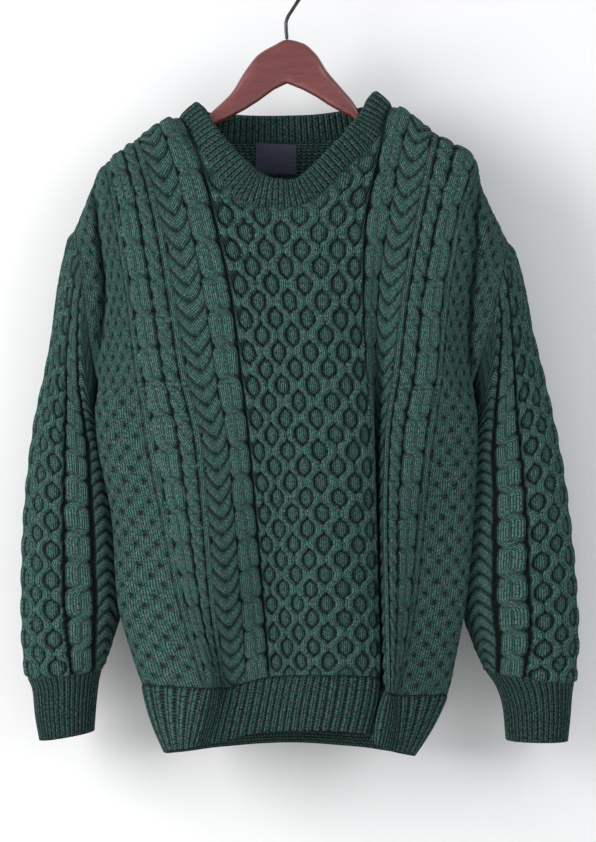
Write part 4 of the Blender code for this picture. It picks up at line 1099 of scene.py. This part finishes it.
def wool(name, tone_and_painted_shade):
    """Heather yarn: V stitches that follow the map, mixed fibres, soft halo, painted shade in the
    furrows.
    """
    n = Nodes(name)
    u, v = n.uv("stitch")
    half = n.math("ABSOLUTE", n.math("SUBTRACT", n.math("FRACT", u), 0.5))
    leg = n.math("DIVIDE", n.math("SUBTRACT", half, 0.255), 0.235)
    leg = n.math("SQRT", n.math("SUBTRACT", 1.0, n.times(leg, leg), clamp=True))
    phase = n.math("FRACT", n.math("SUBTRACT", v, n.times(half, 1.9)))
    loop = n.math("SINE", n.times(phase, math.pi))
    knit = n.times(leg, n.plus(n.times(loop, 0.34), 0.66))
    swing = n.math("COSINE", n.times(u, 2 * math.pi))
    arc = n.math("FRACT", n.plus(v, n.times(swing, 0.18)))
    bead = n.math("SINE", n.times(arc, math.pi))
    bead = n.times(bead, n.plus(n.times(swing, 0.2), 0.7))
    form = n.add("Mix", {0: n.attribute("purl"), 2: knit, 3: bead}).outputs[0]
    here = n.object_place()
    fibre = n.noise(here, 1900.0, 3.0, 0.6)
    ply = n.noise(n.place(n.times(u, 2.6), n.times(v, 1.3)), 1.0, 2.0, 0.6)
    patch = n.noise(here, 260.0, 2.0, 0.6)
    fleck = n.noise(n.place(n.times(u, 1.9), n.times(v, 1.6), 7.0), 1.0, 1.0)
    mixed = n.ramp(ply, [(0.34, tone_and_painted_shade["deep"]), (0.47, tone_and_painted_shade["body"]), (0.56, tone_and_painted_shade["bright"]),
                         (0.68, tone_and_painted_shade["teal"])])
    spots = n.greys(fleck, (0.54, 0.0), (0.66, 0.75))
    mixed = n.blend("MIX", spots, mixed, (*tone_and_painted_shade["fleck"], 1.0))
    mixed = n.darken(0.8, mixed, n.greys(fibre, (0.34, 0.25), (0.64, 1.9)))
    mixed = n.darken(0.5, mixed, n.greys(patch, (0.35, 0.7), (0.65, 1.25)))
    # painted shade between stitch legs and loops: the colour is darkest where the stitch form is
    # lowest
    mixed = n.darken(1.0, mixed, n.greys(form, (0.0, 0.04), (0.45, 0.4), (0.9, 1.0)))
    # painted shade in the knitting's hollows: the lower the lift, the darker the yarn
    depth = n.times(n.attribute("tone_and_painted_shade"), 0.2)
    mixed = n.darken(1.0, mixed, n.greys(depth, (0.0, 0.10), (0.22, 0.45), (0.6, 1.0)))
    n.finish({"Base Color": mixed, "Roughness": 0.95, "Specular IOR Level": 0.12,
              "Sheen Weight": 0.025, "Sheen Roughness": 0.6, "Sheen Tint": (*tone_and_painted_shade["halo"], 1.0)})
    n.bump(n.plus(form, n.times(fibre, 0.35)), 0.0011)
    return n.mat


def hanger_piece(stuff):
    """Contoured arms: a rounded section whose middle, height and depth follow the table."""
    xs = column(HANGER, 0)
    x = np.linspace(xs[0], xs[-1], 241)
    top, y, half = [read(HANGER, k, x)[:, None] for k in (1, 3, 4)]
    low = np.interp(x, xs, column(HANGER, 2))[:, None]
    turn = np.linspace(0, 2 * math.pi, 33)[None, :-1]
    c = np.sign(np.cos(turn)) * np.abs(np.cos(turn)) ** 0.75
    s = np.sign(np.sin(turn)) * np.abs(np.sin(turn)) ** 0.75
    end = np.sqrt(np.clip((x - xs[0]) * (xs[-1] - x) / (6.0 * (xs[-1] - xs[0])), 0.02, 1))[:, None]
    end = np.minimum(end, 1.0)
    points = np.stack([x[:, None] + 0 * c, y + half * c * end,
                       0.5 * (top + low) + 0.5 * (top - low) * s * end], -1)
    return tube("hanger_wood", points, stuff)


def tube(name, points, stuff):
    """A closed tube from rings of points, capped at both ends."""
    rows, cols = points.shape[:2]
    ids, verts = numbered(rows, cols, True, 0, 0)
    caps = np.stack([np.arange(1, cols - 1), np.arange(2, cols), np.zeros(cols - 2, int)], -1)
    three = np.concatenate([caps[:, ::-1], caps + ids[-1, 0]])
    points = points.reshape(-1, 3)
    four, three = facing_out(points[verts], quads(ids), three)
    flat = np.stack(np.indices((rows, cols + 1)), -1).reshape(-1, 2)
    none = np.zeros(rows * cols)
    return build(name, points, verts, four, three, flat, flat, none, none, stuff)


def hook_piece(stuff):
    """Bent wire with rounded ends: a stem that swings aside, then a loop open to the left."""
    stem = np.array(HOOK_STEM)
    reach = travelled(stem)
    at = np.linspace(0, reach[-1], 40)[:-1]
    first = np.stack([smooth(reach, stem[:, k], at) for k in (0, 1)], -1)
    angle = np.radians(np.linspace(HOOK_FROM, HOOK_TO, 110))
    loop = np.stack([HOOK_CENTRE[0] + HOOK_RADIUS * np.cos(angle),
                     HOOK_CENTRE[1] + HOOK_RADIUS * np.sin(angle)], -1)
    line = np.concatenate([first, loop])
    ahead = unit(np.gradient(line, axis=0))
    side = np.stack([-ahead[:, 1], ahead[:, 0]], -1)
    travel = travelled(line)
    left = np.minimum(travel, travel[-1] - travel)
    radius = WIRE * np.sqrt(np.clip(1 - np.clip(1 - left / WIRE, 0, 0.98) ** 2, 0, 1))
    turn = np.linspace(0, 2 * math.pi, 17)[:-1]
    flat = side[:, None, :] * np.cos(turn)[None, :, None] * radius[:, None, None]
    deep = np.sin(turn)[None, :] * radius[:, None]
    points = np.stack([line[:, None, 0] + flat[..., 0], deep, line[:, None, 1] + flat[..., 1]], -1)
    return tube("hook_wire", points, stuff)


def wood():
    """Dark red varnished wood: long grain, fine pores and a clear coat."""
    n = Nodes("varnished_wood")
    along = n.add("Mapping", {"Vector": n.object_place(), "Scale": (14.0, 190.0, 120.0)}).outputs[0]
    grain = n.noise(along, 1.0, 5.0, 0.6, 1.2)
    pore = n.noise(along, 6.0, 2.0, 0.5)
    colour = n.ramp(grain, [(0.3, (0.098, 0.017, 0.017)), (0.5, (0.125, 0.024, 0.024)),
                            (0.72, (0.155, 0.034, 0.032))])
    n.finish({"Base Color": colour, "Roughness": n.greys(pore, (0.3, 0.25), (0.7, 0.42)),
              "Coat Weight": 0.7, "Coat Roughness": 0.18})
    n.bump(pore, 0.0002, 0.5)
    return n.mat


def steel():
    """Dark plated wire with faint draw marks and worn bright spots."""
    n = Nodes("dark_wire")
    here = n.object_place()
    worn = n.noise(here, 90.0, 4.0, 0.65)
    fine = n.noise(here, 2400.0, 2.0, 0.6)
    colour = n.ramp(worn, [(0.35, (0.030, 0.028, 0.030)), (0.7, (0.11, 0.105, 0.108))])
    n.finish({"Base Color": colour, "Metallic": 1.0,
              "Roughness": n.greys(worn, (0.3, 0.3), (0.7, 0.5))})
    n.bump(fine, 0.00008, 0.6)
    return n.mat


def woven():
    """Navy satin ribbon: fine warp and weft, and a faint cloud in its colour."""
    n = Nodes("navy_ribbon")
    here = n.object_place()
    split = n.add("SeparateXYZ", {0: here})
    warp = n.math("SINE", n.times(split.outputs[0], 2 * math.pi / 0.0006))
    weft = n.math("SINE", n.times(split.outputs[2], 2 * math.pi / 0.0009))
    weave = n.times(warp, weft)
    cloud = n.noise(here, 300.0, 3.0, 0.6)
    colour = n.ramp(cloud, [(0.3, (0.012, 0.015, 0.036)), (0.7, (0.026, 0.031, 0.066))])
    n.finish({"Base Color": colour, "Roughness": 0.62, "Sheen Weight": 0.3})
    n.bump(n.plus(weave, cloud), 0.00015, 0.7)
    return n.mat


def plaster(name, colour, rough):
    """Matt painted surface with very faint unevenness."""
    n = Nodes(name)
    here = n.object_place()
    cloud = n.noise(here, 3.0, 3.0, 0.5)
    low = tuple(c * 0.985 for c in colour)
    n.finish({"Base Color": n.ramp(cloud, [(0.3, low), (0.7, colour)]), "Roughness": rough})
    n.bump(n.noise(here, 400.0, 3.0, 0.6), 0.0002, 0.3)
    return n.mat


def plane(name, corners, stuff):
    """A flat backdrop from four corners in metres."""
    mesh = bpy.data.meshes.new(name)
    mesh.from_pydata(corners, [], [(0, 1, 2, 3)])
    mesh.materials.append(stuff)
    return placed(name, mesh)


def lamp(name, place, target, size, power, colour):
    """A soft square lamp that faces its target."""
    data = bpy.data.lights.new(name, "AREA")
    data.shape = "RECTANGLE"
    data.size, data.size_y = size
    data.energy = power
    data.color = colour
    ob = placed(name, data)
    ob.location = place
    aim = Vector(target) - Vector(place)
    ob.rotation_euler = aim.to_track_quat("-Z", "Y").to_euler()


def cuts():
    """Flat width, length and area of every knitted piece, in metres, before it was hung."""
    flat = {}
    for name, panel in PANELS.items():
        lengths = panel_length(panel, np.linspace(-HALF, HALF, 161)) * MM
        flat[name] = (2 * HALF * MM, float(lengths.max()), float(2 * HALF * MM * lengths.mean()))
    for arm, row in ARMS.items():
        lengths = sleeve_lengths(row["sleeve"]) * MM
        around = 2 * column(row["sleeve"], 6) * MM
        area = np.sum(0.5 * (around[1:] + around[:-1]) * np.diff(lengths))
        flat["sleeve_" + arm] = (float(around.max()), float(lengths[-1]), float(area))
    for side in PANELS:
        flat["hem_rib_" + side] = (HEM_WIDE * MM, RIB_TALL * MM, None)
    for arm in ARMS:
        flat["cuff_" + arm] = (CUFF_GIRTH * MM, RIB_TALL * MM, None)
    flat["neckband"] = (NECK_CUT[0] * MM, NECK_CUT[1] * MM, None)
    return flat


def room():
    """The pale wall and floor, a large soft window lamp from the left and a weaker fill."""
    wall = plane("wall", [(-3, 0.1, -2.2), (3, 0.1, -2.2), (3, 0.1, 2.2), (-3, 0.1, 2.2)],
                 plaster("pale_wall", (0.72, 0.72, 0.725), 0.9))
    floor = plane("floor", [(-3, -4, -1.5), (3, -4, -1.5), (3, 0.1, -1.5), (-3, 0.1, -1.5)],
                  plaster("pale_floor", (0.80, 0.79, 0.77), 0.7))
    lamp("window", (-2.3, -1.7, 0.1), (0, 0, -0.45), (1.6, 1.8), 91.0, (1.0, 0.99, 0.97))
    lamp("fill", (2.4, -2.6, 0.4), (0, 0, -0.45), (2.2, 2.2), 44.0, (0.97, 0.98, 1.0))
    world = bpy.data.worlds.new("room")
    world.use_nodes = True
    sky = world.node_tree.nodes["Background"]
    sky.inputs["Color"].default_value = (0.92, 0.96, 1.0, 1.0)
    sky.inputs["Strength"].default_value = 0.6
    bpy.context.scene.world = world


def photo_view():
    """The camera level in front, at the middle of the photo's view."""
    data = bpy.data.cameras.new("photo_view")
    data.sensor_width = 36.0
    data.lens = 100.1
    data.clip_end = 50.0
    camera = placed("photo_view", data)
    camera.location = (0.0117, -2.6, -0.5017)
    camera.rotation_euler = (math.pi / 2, 0.0, 0.0)
    bpy.context.scene.camera = camera
    bpy.context.scene.view_settings.view_transform = "Standard"


def main():
    """Build every piece, tie it to the part, then the room and the view."""
    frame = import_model()
    yarn = wool("heather_wool", TONE)
    pieces = {side: panel_piece(side, yarn) for side in PANELS}
    pieces |= {"hem_rib_" + side: hem_piece(side, yarn) for side in PANELS}
    pieces |= {"sleeve_" + arm: sleeve_piece(arm, yarn) for arm in ARMS}
    pieces |= {"cuff_" + arm: cuff_piece(arm, yarn) for arm in ARMS}
    pieces["neckband"] = neckband_piece(yarn)
    pieces["hanger"] = hanger_piece(wood())
    pieces["hook"] = hook_piece(steel())
    for node, piece in pieces.items():
        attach(piece, "root")
        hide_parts(node)
    label = frame["nodes"]["neck_label"]
    for slot in label.material_slots:
        slot.material = woven()
    for node, (width, length, area) in cuts().items():
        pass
    width, length = LABEL_CUT
    room()
    photo_view()


main()
